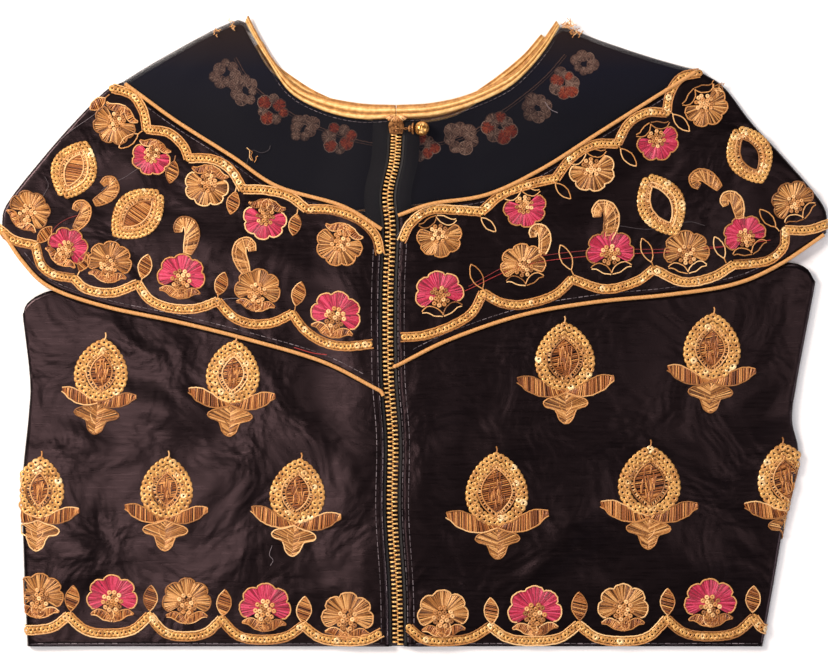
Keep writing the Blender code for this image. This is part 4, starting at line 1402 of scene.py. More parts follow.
def scallops(rng: random.Random, arcs: Sequence[Sequence[Pair]], wide: float = 4.8) -> Motif:
    """The sequinned scallop border: one smooth arc after another, meeting in cusps."""
    motif = Motif(rng)
    for arc in arcs:
        line = smooth(arc, 5)
        motif.sequin_row(line, wide * 0.43, wide * 0.48, 0.28)
        for offset in (-wide / 2, wide / 2):
            motif.cord(line.beside(offset), girth=0.44)
    return motif


# Hem border: each arc's first end, lowest point and last end
HEM_ARCS = rows(
    Arc,
    (-223, -160, -211, -164.5, -190, -156.5), (-190, -156.5, -168, -166.5, -145.5, -156.5),
    (-145.5, -156.5, -126, -168, -106, -158.5), (-106, -158.5, -84, -169.8, -61, -162),
    (-61, -162, -38, -170.6, -17.5, -165.5), (-2.7, -163, 15, -170.6, 42, -162.5),
    (42, -162.5, 66, -170.6, 90.5, -161.5), (90.5, -161.5, 115, -170.6, 139, -158.5),
    (139, -158.5, 163, -168, 187, -157.5), (187, -157.5, 197, -164.5, 208, -168),
)
HEM_BLOOMS = rows(
    Bloom,
    (-206, -145.5, -3, 13.2, False), (-166, -147, 0, 13.8, True), (-125, -148.5, 0, 13.4, False),
    (-82, -152, -3, 14.2, True), (-36.5, -157, -2, 14.2, False), (16, -155.5, 2, 14, False),
    (66.5, -154, 2, 14.8, True), (115, -152, 0, 13.8, False), (163, -149.5, 2, 14.2, True),
)
HEM_LEAVES = rows(
    Sewn,
    (-188, -147, -6, 14), (-145, -147, -2, 14), (-104.5, -149.5, -4, 14.5), (-60.5, -153.5, -4, 15),
    (42.5, -154, 4, 14.5), (91, -151.5, 2, 15.5), (139.5, -149, 0, 14.5), (186.5, -147.5, -2, 14.5),
)
BUTIS = rows(
    Drop,
    (-172, -21.5, -6, 30, 35, 21), (-99.5, -22.5, -4, 30, 35, 24.5), (-206, -86, -3, 28, 34, 23),
    (-136, -86, -2, 29.5, 34, 23.5), (-64, -88, -5, 31, 36, 25.5), (83, -14, 1, 33.5, 38, 27.5),
    (164, -8.5, -2, 32, 37, 25), (45.5, -87, 1, 35, 41, 29), (129.5, -82.5, -1, 35, 39, 27.5),
    (204.5, -80.5, 6, 32, 38, 25),
)

# Scallop borders of the band, each arc from one cusp to the next
BAND_SCALLOPS = (
    ((-166, 133.5), (-155, 130), (-149, 121), (-147, 111)),
    ((-147, 111), (-135, 109), (-127, 102), (-124, 95)),
    ((-124, 95), (-111, 94.5), (-101, 89), (-94, 78)),
    ((-94, 78), (-82, 77.5), (-69, 74.5), (-59, 67)),
    ((-59, 67), (-45, 66.5), (-30, 61), (-21, 52), (-18.5, 42)),
    ((-229, 57), (-220, 50), (-208, 47)),
    ((-208, 47), (-205, 36.5), (-198, 31), (-187, 29)),
    ((-187, 29), (-180, 23), (-166, 21), (-152, 26)),
    ((-152, 26), (-145, 17), (-133, 12.5), (-119, 12.5), (-108, 16.5)),
    ((-108, 16.5), (-100, 8), (-90, 4), (-78, 4.5), (-67, 9.5)),
    ((-67, 9.5), (-60, 0.5), (-50, -6), (-38, -8.5), (-22.5, -7)),
    ((157, 142), (147, 139.5), (141, 131), (139, 120)),
    ((139, 120), (128, 120), (118, 114), (112, 103)),
    ((112, 103), (99, 102.5), (87, 95.5), (78, 84)),
    ((78, 84), (65, 81), (49, 75.5), (37, 65.5)),
    ((37, 65.5), (24, 66.5), (9, 66.5), (-1.5, 59.5), (-7, 49)),
    ((229, 59.5), (217, 55.5), (204, 55.5)),
    ((204, 55.5), (203, 46), (194, 38.5), (176, 36.5)),
    ((176, 36.5), (164, 29.5), (148, 27), (132, 34)),
    ((132, 34), (122, 27), (105, 23), (87, 28.5)),
    ((87, 28.5), (77, 19.5), (60, 14.5), (48, 15.5), (38, 21)),
    ((38, 21), (32, 10), (20, 2.5), (5, -2.5), (-7.5, -3.5)),
)
BAND_BLOOMS = rows(
    Bloom,
    (-211.5, 66, -38, 11.6, False), (-190.5, 46, -34, 11.4, True), (-167.5, 38, -8, 12.2, False),
    (-128, 30, -6, 13.2, True), (-86, 22.5, -8, 12.6, False), (-43, 9, -14, 13.8, True),
    (-164.5, 114, 148, 12, False), (-144.5, 95.5, 160, 10.6, True), (-114, 80, 165, 12.2, False),
    (-82, 61.5, 170, 12, True), (-41, 47.5, 160, 12.8, False),
)
BAND_OPEN_BLOOMS = rows(
    Bloom,
    (14, 20.5, 10, 13.4, True), (60, 36.5, 8, 12.4, False), (108, 43.5, 4, 13.2, True),
    (150, 43.5, 4, 12.6, False), (182, 52.5, 22, 11.8, True), (208.5, 71, 32, 11.8, False),
    (14, 52, 188, 12.4, False), (61, 68, 192, 11.8, True), (98, 88.5, 198, 12.6, False),
    (134, 104.5, 202, 11.6, True), (160.5, 124, 214, 12.2, False),
)
BAND_LEAVES = rows(
    Sewn,
    (-203, 53, -40, 11.5), (-181.5, 38, -26, 11.5), (-148, 35.5, -14, 13.5), (-106, 26, -16, 13),
    (-63.5, 20.5, -14, 13.5), (-174, 125, 128, 10.5), (-133, 87.5, 168, 12.5), (-99.5, 70.5, 168, 12.5),
    (-65.5, 58.5, 170, 12),
)
BAND_LOOPS = rows(
    Sewn,
    (147, 114.5, 224, 13), (118, 95.5, 222, 13), (82, 77, 224, 12), (41, 58.5, 226, 11),
    (34.5, 30, 26, 15), (83.5, 40.5, 24, 15), (128, 44.5, 22, 14), (168, 46, 24, 13), (194.5, 62, 42, 13),
    (-157, 104.5, 126, 13),
)
MEDALLIONS = rows(Drop, (-187, 88.5, 157, 25, 34, 0), (-152, 64.5, -48, 25.5, 36, 0))
OPEN_MEDALLIONS = rows(Drop, (136, 69.5, 26, 26, 37, 0), (184.5, 97, 24, 25, 34, 0))
PAISLEYS = rows(
    Sewn,
    (-169.5, 77, -46, 18), (-183.5, 64, -22, 16.5), (-125, 53, 0, 21), (69.5, 51, 6, 17),
    (105.5, 61.5, 2, 22), (160, 82.5, 62, 18), (175.5, 69.5, 24, 17),
)
TURNED_PAISLEYS = rows(Sewn, (-93, 42, 8, 20))

# Flowers of the front neck's trim, whose backs show through the net
TRIM_BLOOMS = rows(
    Bloom,
    (-104, 142, 40, 6.5, False), (-93, 132.5, 44, 6.8, False), (-78, 122, 34, 7.2, True),
    (-61, 112, 24, 6.8, False), (-41, 106, 14, 7.6, True), (5, 101.5, -6, 6.8, True),
    (25.5, 106.5, -14, 7.8, False), (47, 112.5, -20, 7.8, True), (68, 123, -34, 7, False),
    (83, 136.5, -46, 7.4, True), (94, 147, -50, 6, False),
)

# Loose and tacking threads on the back: their places in order
RED_TACKS = (
    ((28, 22), (60, 36), (100, 41.5), (150, 44), (196, 50)),
    ((30, 24.5), (58, 38.5), (98, 44.5), (140, 45), (176, 47)),
    ((-202, 44), (-198, 56), (-190, 62), (-180, 64.5)),
    ((-66, -9), (-56, -12), (-48, -13)),
)
PALE_THREADS = (
    ((-92, 92), (-90.5, 97), (-88.5, 99.5), (-84, 98), (-80, 99.5), (-79, 102)),
    ((-195, 105), (-186, 112), (-176, 119), (-168, 126)),
    ((-148, 92), (-160, 84), (-166, 82), (-172, 77)),
    ((-204, 74), (-201, 80), (-203, 85)),
    ((-170, 45), (-165, 49), (-160, 52)),
    ((-112, 16), (-98, 18), (-88, 14)),
    ((72, 126), (75, 122), (79, 120)),
    ((-78, -118), (-79.5, -123), (-77.5, -126), (-79, -129)),
    ((-10, 52), (-2, 60), (12, 70), (24, 71)),
    ((112, 58), (130, 56), (150, 60), (160, 58)),
)

# Frayed gold ends at the shoulder tips: place, heading, length, number
FRAYS = rows(
    Drop,
    (83, 167.5, 20, 5.5, 16, 0), (88, 165.5, -30, 4, 9, 0), (-100, 168.5, 200, 3.2, 8, 0),
    (-108, 164.5, 210, 3, 6, 0), (166, 134, -10, 5, 12, 0), (-88.5, 93, 80, 7.5, 3, 0),
)


def hoop_faces(rings: int, sides: int) -> list[tuple[int, int, int, int]]:
    """Faces that join rings of points into a closed hoop.

    Args:
        rings: how many rings there are.
        sides: points in each.

    Returns:
        Each face's four corners.
    """
    faces = []
    for ring in range(rings):
        for i in range(sides):
            here, ahead, k = ring * sides, (ring + 1) % rings * sides, (i + 1) % sides
            faces.append((here + i, here + k, ahead + k, ahead + i))
    return faces


def sequin_mesh() -> Mesh:
    """A thin punched disc of radius 1 mm, slightly cupped."""
    points, sides = [], 10
    for radius, z in ((1.0, 0.0), (1.0, 0.07), (0.27, 0.16), (0.27, 0.09)):
        for i in range(sides):
            turn = math.tau * i / sides
            points.append((radius * math.cos(turn), radius * math.sin(turn), z))
    return mesh_of("sequin", points, [], hoop_faces(4, sides))


def knot_mesh() -> Mesh:
    """A coiled knot of radius 1 mm: a thick ring with a dimple."""
    points, sides, round_it = [], 9, 5
    for i in range(sides):
        turn = math.tau * i / sides
        for k in range(round_it):
            lap = math.tau * k / round_it
            radius = 0.56 + 0.42 * math.cos(lap)
            points.append((radius * math.cos(turn), radius * math.sin(turn), 0.45 * math.sin(lap)))
    faces = [(a, d, c, b) for a, b, c, d in hoop_faces(sides, round_it)]
    return mesh_of("knot", points, [], faces)


class Workbasket:
    """Lays motifs on the cloth and turns them into pieces, one for each ground and thread."""

    def __init__(self) -> None:
        """Makes the trees and the small pieces that they lay."""
        self.threads, self.laying = thread_tree(), laid_tree()
        self.strokes: dict[tuple[str, Paint], list[tuple[list[Vector], float, float]]] = {}
        self.spots: dict[tuple[str, str], list[tuple[Vector, Vector, float, float]]] = {}
        self.small = {
            "sequins": new_object("sequin_pattern", sequin_mesh(), None),
            "knots": new_object("knot_pattern", knot_mesh(), None),
        }

    def lay(
        self,
        motif: Motif,
        area: str,
        ground: Ground | Underside | InnerFront,
        x: float = 0.0,
        y: float = 0.0,
        turn: float = 0.0,
        mirror: bool = False,
    ) -> None:
        """Lays one motif.

        Args:
            motif: what to lay.
            area: the name that its pieces start with.
            ground: the face that it lies on.
            x: place of its origin.
            y: place of its origin.
            turn: how far it is turned, in degrees.
            mirror: whether it is the other way round.
        """
        c, s = math.cos(math.radians(turn)), math.sin(math.radians(turn))
        flip = -1.0 if mirror else 1.0
        lowest = ROUND_TO if isinstance(ground, Ground) else 0.0

        def there(px: float, py: float, lift: float) -> Vector:
            """The motif's point on the ground."""
            px *= flip
            return ground.place(x + px * c - py * s, y + px * s + py * c, lift)

        for paint, strokes in motif.strokes.items():
            kept = self.strokes.setdefault((area, paint), [])
            for stroke in strokes:
                points = [p for p in (there(*p) for p in stroke.points) if p.z > lowest]
                if len(points) > 1:
                    kept.append((points, stroke.girth, stroke.shade))
        for kind, spots in (("sequins", motif.sequins), ("knots", motif.knots)):
            kept_spots = self.spots.setdefault((area, kind), [])
            for spot in spots:
                middle = there(spot.x, spot.y, spot.lift)
                if middle.z < lowest * 1.6:
                    continue
                across = there(spot.x + 0.4, spot.y, spot.lift) - middle
                along = there(spot.x, spot.y + 0.4, spot.lift) - middle
                normal = across.cross(along) * flip
                turned = Vector(normal.to_track_quat("Z", "Y").to_euler())
                kept_spots.append((middle, turned, spot.size, spot.shade))

    def thread(self, area: str, paint: Paint, points: list[Vector], girth: float, shade: float = 0.5) -> None:
        """Adds one thread that is already in place."""
        self.strokes.setdefault((area, paint), []).append((points, girth, shade))

    def swept(self, name: str, strokes: list, paint: Paint, sides: int = 5) -> Object:
        """Sweeps a list of threads into one piece."""
        points, edges, girths, tones = [], [], [], []
        for line, girth, shade in strokes:
            start = len(points)
            points.extend(line)
            edges.extend((start + i, start + i + 1) for i in range(len(line) - 1))
            girths.extend([girth * MM] * len(line))
            tones.extend([shade] * len(line))
        data = mesh_of(name, points, edges, [])
        for label, values in (("girth", girths), ("shade", tones)):
            data.attributes.new(label, "FLOAT", "POINT").data.foreach_set("value", values)
        return grown(name, data, self.threads, {"Sides": sides, "Finish": paint.material()})

    def scattered(self, name: str, spots: list, kind: str, paint: Paint, tilt: float) -> Object:
        """Lays a list of small pieces as one piece."""
        data = mesh_of(name, [spot[0] for spot in spots], [], [])
        turned = data.attributes.new("turn", "FLOAT_VECTOR", "POINT")
        turned.data.foreach_set("vector", [c for spot in spots for c in spot[1]])
        for label, column in (("size", 2), ("shade", 3)):
            values = [spot[column] for spot in spots]
            data.attributes.new(label, "FLOAT", "POINT").data.foreach_set("value", values)
        inputs = {"Piece": self.small[kind], "Tilt": tilt, "Seed": 7, "Finish": paint.material()}
        return grown(name, data, self.laying, inputs)

    def pieces(self) -> list[tuple[Object, str]]:
        """Makes everything that was laid.

        Returns:
            Each piece with its material slot's name.
        """
        slots = {
            Paint.GOLD: "gold_thread", Paint.OUTLINE: "gold_thread", Paint.LEAF: "leaf_thread",
            Paint.PINK: "pink_thread", Paint.TRIM: "gold_thread", Paint.TRIM_RED: "leaf_thread",
            Paint.SEWING: "sewing_thread", Paint.RED_THREAD: "sewing_thread", Paint.PIPING: "piping",
        }
        made = []
        for (area, paint), strokes in self.strokes.items():
            made.append((self.swept(f"{area}_{paint.name.lower()}", strokes, paint), slots[paint]))
        for (area, kind), spots in self.spots.items():
            if spots:
                sequins = kind == "sequins"
                paint = Paint.SEQUIN if sequins else Paint.OUTLINE
                piece = self.scattered(f"{area}_{kind}", spots, kind, paint, 0.16 if sequins else 0.3)
                made.append((piece, "sequins" if sequins else "gold_thread"))
        for piece, _ in made:
            if piece.name.startswith("front"):
                self.pressed(piece)
        return made

    @staticmethod
    def pressed(piece: Object) -> None:
        """Presses a piece flat between the front's outer face and the floor."""
        heights = [vertex.co.z for vertex in piece.data.vertices]
        low, high = min(heights), max(heights)
        for vertex in piece.data.vertices:
            vertex.co.z = MM * (0.01 + (FRONT_UNDER - 0.01) * (vertex.co.z - low) / (high - low))

    def put_away(self) -> None:
        """Removes the patterns of the small pieces."""
        for pattern in self.small.values():
            bpy.data.objects.remove(pattern)


def keep(piece: Object, body: Bodies, slot: str, *nodes: str) -> Object:
    """Makes a piece ride on its body and hides the solids that it stands for."""
    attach(piece, body.value)
    if nodes:
        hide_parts(*nodes)
    LOG.info("%s: %d faces", piece.name, len(piece.data.polygons))
    return piece


@dataclass
class Cloth:
    """The blouse's cloth: body, band and yoke on each side of the zip, and the front under them."""

    columns: int = 76
    fold_steps: int = 8
    under_steps: int = 3
    panels: dict[str, dict[str, Panel]] = field(default_factory=dict)

    def rows(self, panel: Panel, count: int, seam_share: float) -> list[list[Vector]]:
        """The back layer, its fold, and the strip underneath as far as the seam."""
        rows = []
        for v in shares(count):
            flat = [panel.at(u, v) for u in shares(self.columns)]
            row = [Vector((p.x, p.y, FORM.at(p.x, p.y))) for p in flat]
            edge, outward = row[-1], (flat[-1] - flat[-2]).normalized()
            radius = (edge.z - FRONT_MID) / 2
            for i in range(1, self.fold_steps):
                turn = math.pi * i / self.fold_steps
                out = outward * radius * math.sin(turn)
                height = FRONT_MID + radius * (1 + math.cos(turn))
                row.append(Vector((edge.x + out.x, edge.y + out.y, height)))
            for share in shares(self.under_steps):
                p = panel.at(1 - (1 - seam_share) * share, v)
                row.append(Vector((p.x, p.y, FRONT_MID)))
            rows.append(row)
        return rows

    def backs(self) -> None:
        """Makes the six back pieces, each standing for its solid."""
        makers: tuple[tuple[str, Callable[[str], Panel], int, float, float, Paint, str], ...] = (
            ("back", body_panel, 72, SIDE_SEAM, CLOTH_THICK, Paint.SATIN, "satin"),
            ("back_band", band_panel, 40, SIDE_SEAM, CLOTH_THICK, Paint.SATIN, "satin"),
            ("back_yoke", yoke_panel, 34, SHOULDER_SEAM, NET_THICK, Paint.NET, "net"),
        )
        for side in SIGN:
            self.panels[side] = {}
            for name, maker, count, seam_share, thick, paint, slot in makers:
                panel = maker(side)
                self.panels[side][name] = panel
                sheet = strip_mesh(f"{name}_{side}_cloth", self.rows(panel, count, seam_share))
                piece = walled(new_object(f"{name}_{side}_cloth", sheet, paint.material()), thick)
                keep(piece, Bodies.BLOUSE, slot, f"{name}_{side}")
                hidden = panel.bottom.length * (1 - seam_share) + math.pi * fold_reach(panel.far.at(0).x)
                wide, tall, area = panel.cut(hidden)

    def fronts(self) -> None:
        """Makes the front body, band and yoke, which lie on the floor."""
        lower, upper = self.across(LOWER), self.across(UPPER)
        neck = smooth(FRONT_NECK).shifted(FRONT_BINDING_WIDE + GAP, DOWN)
        satin, net = (Paint.SATIN, "satin"), (Paint.FRONT_NET, "net")
        body_top, band_low = lower.shifted(FRONT_SEAM, DOWN), lower.shifted(FRONT_SEAM, UP)
        band_top, yoke_low = upper.shifted(FRONT_SEAM, DOWN), upper.shifted(FRONT_SEAM, UP)
        parts = (
            ("front_body", "back", SIDE_SEAM, None, body_top, 60, satin),
            ("front_band", "back_band", SIDE_SEAM, band_low, band_top, 24, satin),
            ("front_yoke", "back_yoke", SHOULDER_SEAM + YOKE_PAST_SEAM, yoke_low, neck, 24, net),
        )
        for name, over, share, low, high, count, (paint, slot) in parts:
            gaps = (0.0 if low is None else FRONT_SEAM, YOKE_TOP_GAP if name == "front_yoke" else FRONT_SEAM)
            near, far = (
                Route(self.panels[side][over].upright(share - 0.003, 12, *gaps)) for side in ("left", "right")
            )
            ends = near.at(0), far.at(0)
            bottom = Route(ends) if low is None else self.between(low, *ends)
            top = self.between(high, near.at(1), far.at(1))
            panel = Panel(bottom, top, near, far)
            grid = []
            for v in shares(count):
                flat = [panel.at(u, v) for u in shares(96)]
                grid.append([Vector((p.x, p.y, FRONT_SHELL_MID + self.ripple(p.x, p.y))) for p in flat])
            thick = NET_THICK if paint is Paint.FRONT_NET else FRONT_SHELL_THICK
            sheet = strip_mesh(name + "_cloth", grid)
            piece = walled(new_object(name + "_cloth", sheet, paint.material()), thick)
            keep(piece, Bodies.BLOUSE, slot, name)
            wide, tall, area = panel.cut(0.0)

    @staticmethod
    def ripple(x: float, y: float) -> float:
        """A slight unevenness of the front layer."""
        return 0.05 * math.sin(x / 17.0 + y / 29.0) * math.cos(y / 23.0 - x / 41.0)

    @staticmethod
    def across(routes: dict[str, Route]) -> Route:
        """A seam's line across the whole front, from left to right."""
        left = [p for p in routes["left"].points if p.x < FRONT_MEETS["left"]]
        right = [p for p in routes["right"].points if p.x > FRONT_MEETS["right"]]
        return smooth(left[::-3] + right[::3], 2)

    @staticmethod
    def between(route: Route, left: Vector, right: Vector) -> Route:
        """The stretch of a line between two end points, with those ends."""
        return Route([left] + [p for p in route.points if left.x + 0.6 < p.x < right.x - 0.6] + [right])


@dataclass
class Embroidery:
    """All that is sewn on the cloth: borders, flowers, drops, paisleys and stray threads."""

    cloth: Cloth
    basket: Workbasket
    rng: random.Random = field(default_factory=lambda: random.Random(41))

    def ground(self, name: str) -> Ground:
        """The back face of one kind of panel, on both sides of the zip."""
        return Ground({side: panels[name] for side, panels in self.cloth.panels.items()})

    @staticmethod
    def arc_line(arc: Arc, mirror: float = 1.0) -> list[Pair]:
        """An arc's places from its three points, rounder than a parabola."""
        quarter = 0.2
        line = [
            (arc.x0, arc.y0),
            (arc.x0 + (arc.x - arc.x0) * 0.42, arc.y + (arc.y0 - arc.y) * quarter),
            (arc.x, arc.y),
            (arc.x1 + (arc.x - arc.x1) * 0.42, arc.y + (arc.y1 - arc.y) * quarter),
            (arc.x1, arc.y1),
        ]
        return [(mirror * x, y) for x, y in line]

    def sew(
        self, table: Iterable[tuple], area: str, ground: Ground | Underside | InnerFront,
        motif: Callable[[tuple], Motif], flip: float = 1.0, mirror: bool = False,
    ) -> None:
        """Sews a motif in each of a table's places.

        Args:
            table: rows with the motif's place, turn and sizes.
            area: the name that its pieces start with.
            ground: the face that it lies on.
            motif: draws the motif for a row.
            flip: -1 where left and right change places.
            mirror: whether the motif is the other way round.
        """
        for row in table:
            self.basket.lay(motif(row), area, ground, flip * row.x, row.y, row.turn, mirror)

    def bloom(self, row: Bloom, filled: bool = True) -> Motif:
        """A flower in a row's size, pink or gold."""
        return flower(self.rng, Paint.PINK if row.pink else Paint.GOLD, row.size, filled)

    def body(self) -> None:
        """The hem border and the drops on the back, and the same on the front's outer face."""
        arcs = [self.arc_line(arc) for arc in HEM_ARCS]
        self.figures("body", self.ground("back"), arcs, 1.0, 999.0)
        arcs = [[(x, y) for x, y in self.arc_line(arc, -1.0) if abs(x) < 186] for arc in HEM_ARCS]
        self.figures("front", Underside(), [arc for arc in arcs if len(arc) > 2], -1.0, 174.0)

    def figures(
        self, area: str, ground: Ground | Underside, arcs: list[list[Pair]], flip: float, limit: float
    ) -> None:
        """The border, flowers, leaves and drops of one face of the body.

        Args:
            area: the name that its pieces start with.
            ground: the face.
            arcs: the border's arcs.
            flip: -1 where left and right change places.
            limit: how far from the middle flowers go.
        """
        near = [[row for row in table if abs(row.x) < limit] for table in (HEM_BLOOMS, HEM_LEAVES, BUTIS)]
        drops = [row for row in near[2] if abs(row.x) < limit - 14]
        self.basket.lay(scallops(self.rng, arcs), area, ground)
        self.sew(near[0], area, ground, self.bloom, flip)
        self.sew(near[1], area, ground, lambda row: cusp_leaf(self.rng, row.size), flip)
        self.sew(drops, area, ground, lambda row: buti(self.rng, row.wide, row.tall, row.reach), flip)

    def band(self) -> None:
        """The band's two borders and the flowers and figures between them."""
        ground, rng = self.ground("back_band"), self.rng
        self.basket.lay(scallops(rng, BAND_SCALLOPS, 4.6), "band", ground)
        for table, motif in (
            (BAND_BLOOMS, self.bloom),
            (BAND_OPEN_BLOOMS, lambda row: self.bloom(row, False)),
            (BAND_LEAVES, lambda row: cusp_leaf(rng, row.size)),
            (BAND_LOOPS, lambda row: cusp_leaf(rng, row.size, False)),
            (MEDALLIONS, lambda row: medallion(rng, row.wide, row.tall, False)),
            (OPEN_MEDALLIONS, lambda row: medallion(rng, row.wide, row.tall, True)),
            (PAISLEYS, lambda row: paisley(rng, row.size)),
        ):
            self.sew(table, "band", ground, motif)
        self.sew(TURNED_PAISLEYS, "band", ground, lambda row: paisley(rng, row.size), mirror=True)

    def trim(self) -> None:
        """The backs of the front neck's flowers and of its stitched line, seen through the net."""
        ground = InnerFront()
        for row in TRIM_BLOOMS:
            motif = Motif(self.rng)
            for i in range(7):
                turn = math.tau * i / 7
                out, size = self.rng.uniform(0.55, 0.85) * row.size, self.rng.uniform(0.36, 0.56) * row.size
                x, y = out * 1.1 * math.cos(turn), out * math.sin(turn)
                ring = [
                    (x + size * math.cos(a), y + size * math.sin(a))
                    for a in (math.tau * k / 9 for k in range(10))
                ]
                motif.cord(Route(ring), Paint.TRIM, 0.3)
                paint = Paint.TRIM_RED if row.pink and i % 2 == 0 else Paint.TRIM
                centre = Route([(x, y - 0.1), (x, y + 0.1)])
                motif.bars(centre, Route(ring), paint, 0.8, 0.34)
            self.basket.lay(motif, "trim", ground, row.x, row.y, row.turn)
        line = smooth(FRONT_NECK).shifted(17.0, DOWN)
        for offset in (0.0, 1.3):
            motif = Motif(self.rng)
            motif.cord(line.shifted(offset, DOWN), Paint.TRIM, 0.3)
            self.basket.lay(motif, "trim", ground)

    def stray(self) -> None:
        """The red tacks left in, the pale loose threads, and the stitch lines."""
        ground = self.ground("back")
        for table, paint, girth in ((RED_TACKS, Paint.RED_THREAD, 0.22), (PALE_THREADS, Paint.SEWING, 0.17)):
            for places in table:
                points = [ground.place(p.x, p.y, 0.55) for p in smooth(places, 5).points]
                self.basket.thread("stray", paint, points, girth, self.rng.random())
        for side in SIGN:
            for distance, low, high in ((5.6, -171.0, 52.0), (9.0, -171.0, 50.0)):
                line = Route([beside_zip(side, low + (high - low) * t, distance) for t in shares(60)])
                self.dashes(line.points, ground, 2.6, 0.9)
            hem_end = self.cloth.panels[side]["back"].far.at(0).x
            hem = [(zip_x(HEM_Y) + (hem_end - zip_x(HEM_Y)) * t, HEM_Y + 1.6) for t in shares(40)]
            self.dashes(Route(hem).points[2:], ground, 3.0, 0.7)
            inside = LOWER[side].shifted(3.8, UP)
            self.dashes(inside.points[3:-6], ground, 2.4, 0.8)
            self.dashes(UPPER[side].shifted(3.2, DOWN).points[3:-4], ground, 2.4, 0.8)
            self.dashes(smooth(NECK_LOW[side]).shifted(2.0, DOWN).points[2:-3], ground, 2.0, 0.8, 0.12)
        for fray in FRAYS:
            self.fray(fray, ground)

    def fray(self, fray: Drop, ground: Ground) -> None:
        """Pulls a tuft of short loose gold ends out of a seam."""
        for _ in range(round(fray.tall)):
            turn = math.radians(fray.turn) + self.rng.gauss(0.0, 0.7)
            reach = fray.wide * self.rng.uniform(0.5, 1.0)
            x, y = fray.x + self.rng.uniform(-2.0, 2.0), fray.y + self.rng.uniform(-1.2, 1.2)
            points = []
            for t in shares(4):
                curl = turn + 1.4 * t * self.rng.uniform(-0.4, 0.6)
                at = (x + reach * t * math.cos(curl), y + reach * t * math.sin(curl))
                points.append(ground.place(*at, 0.4 + 0.6 * t))
            self.basket.thread("fray", Paint.OUTLINE, points, 0.24, self.rng.random())

    def dashes(
        self, points: list[Vector], ground: Ground, stitch: float, gap: float, girth: float = 0.2
    ) -> None:
        """Sews a running line of stitches through the cloth."""
        line = Route(points)
        pitch = stitch + gap
        for i in range(int(line.length / pitch)):
            ends = [line.at((i * pitch + d) / line.length) for d in (0.0, stitch / 2, stitch)]
            lifts = (0.02, 0.16, 0.02)
            placed = [ground.place(p.x, p.y, lift) for p, lift in zip(ends, lifts)]
            self.basket.thread("stitch", Paint.SEWING, placed, girth, self.rng.random())

    def build(self) -> None:
        """Lays everything and keeps the finished pieces."""
        self.body()
        self.band()
        self.trim()
        self.stray()
        for piece, slot in self.basket.pieces():
            keep(piece, Bodies.BLOUSE, slot)


@dataclass
class Piping:
    """The corded seams: round cord in twisted satin along both seams, back and front."""

    basket: Workbasket
    girth: float = 1.05
    lift: float = 1.1
    front_girth: float = 0.42

    def build(self, across: Callable[[dict[str, Route]], Route]) -> None:
        """Makes the six lengths of piping.

        Args:
            across: gives a seam's line across the front.
        """
        rng = random.Random(5)
        for side in SIGN:
            for name, routes, end in (("lower", LOWER, 0.992), ("upper", UPPER, 0.985)):
                places = [routes[side].at(end * t) for t in shares(150)]
                line = [Vector((p.x, p.y, FORM.at(p.x, p.y) + self.lift)) for p in places]
                line = self.hooked(line, side, name)
                strokes = [(line, self.girth, 0.5)]
                strokes += self.wraps(line, rng)
                piece = self.basket.swept(f"piping_{name}_{side}_cord", strokes, Paint.PIPING, 8)
                keep(piece, Bodies.BLOUSE, "piping", f"piping_{name}_{side}")
        for name, routes in (("lower", LOWER), ("upper", UPPER)):
            places = across(routes).spaced(3.0)[1:-1]
            line = [Vector((p.x, p.y, 0.47)) for p in places if abs(p.x) < (196 if name == "lower" else 140)]
            strokes = [(line, self.front_girth, 0.5)]
            piece = self.basket.swept(f"piping_{name}_front_cord", strokes, Paint.PIPING, 8)
            keep(piece, Bodies.BLOUSE, "piping", f"piping_{name}_front")

    def hooked(self, line: list[Vector], side: str, name: str) -> list[Vector]:
        """The lower piping's end at the zip, which turns down on itself."""
        if name != "lower":
            return line
        start = line[0]
        if side == "left":
            return [start + Vector((1.4, -2.6, 0.1)), start + Vector((0.9, -1.2, 0.1))] + line
        return [start + Vector((-1.6, -1.2, 0.1)), start + Vector((-1.2, -0.2, 0.15))] + line

    def wraps(self, line: list[Vector], rng: random.Random) -> list[tuple[list[Vector], float, float]]:
        """Fine turns of thread round the cord, which give it its twisted look."""
        turns = []
        route = Route([(p.x, p.y) for p in line])
        pitch = 1.9
        for i in range(1, int(route.length / pitch)):
            share = i * pitch / route.length
            a, b = route.at(share - 0.4 / route.length), route.at(share + 0.9 / route.length)
            run = (b - a).normalized()
            side = Vector((-run.y, run.x)) * self.girth * 0.86
            height = FORM.at(a.x, a.y) + self.lift
            first = Vector((a.x + side.x, a.y + side.y, height + 0.45))
            last = Vector((b.x - side.x, b.y - side.y, height + 0.45))
            middle = first.lerp(last, 0.5) + Vector((0, 0, 0.66))
            turns.append(([first, middle, last], 0.16, 0.3 + 0.5 * rng.random()))
        return turns


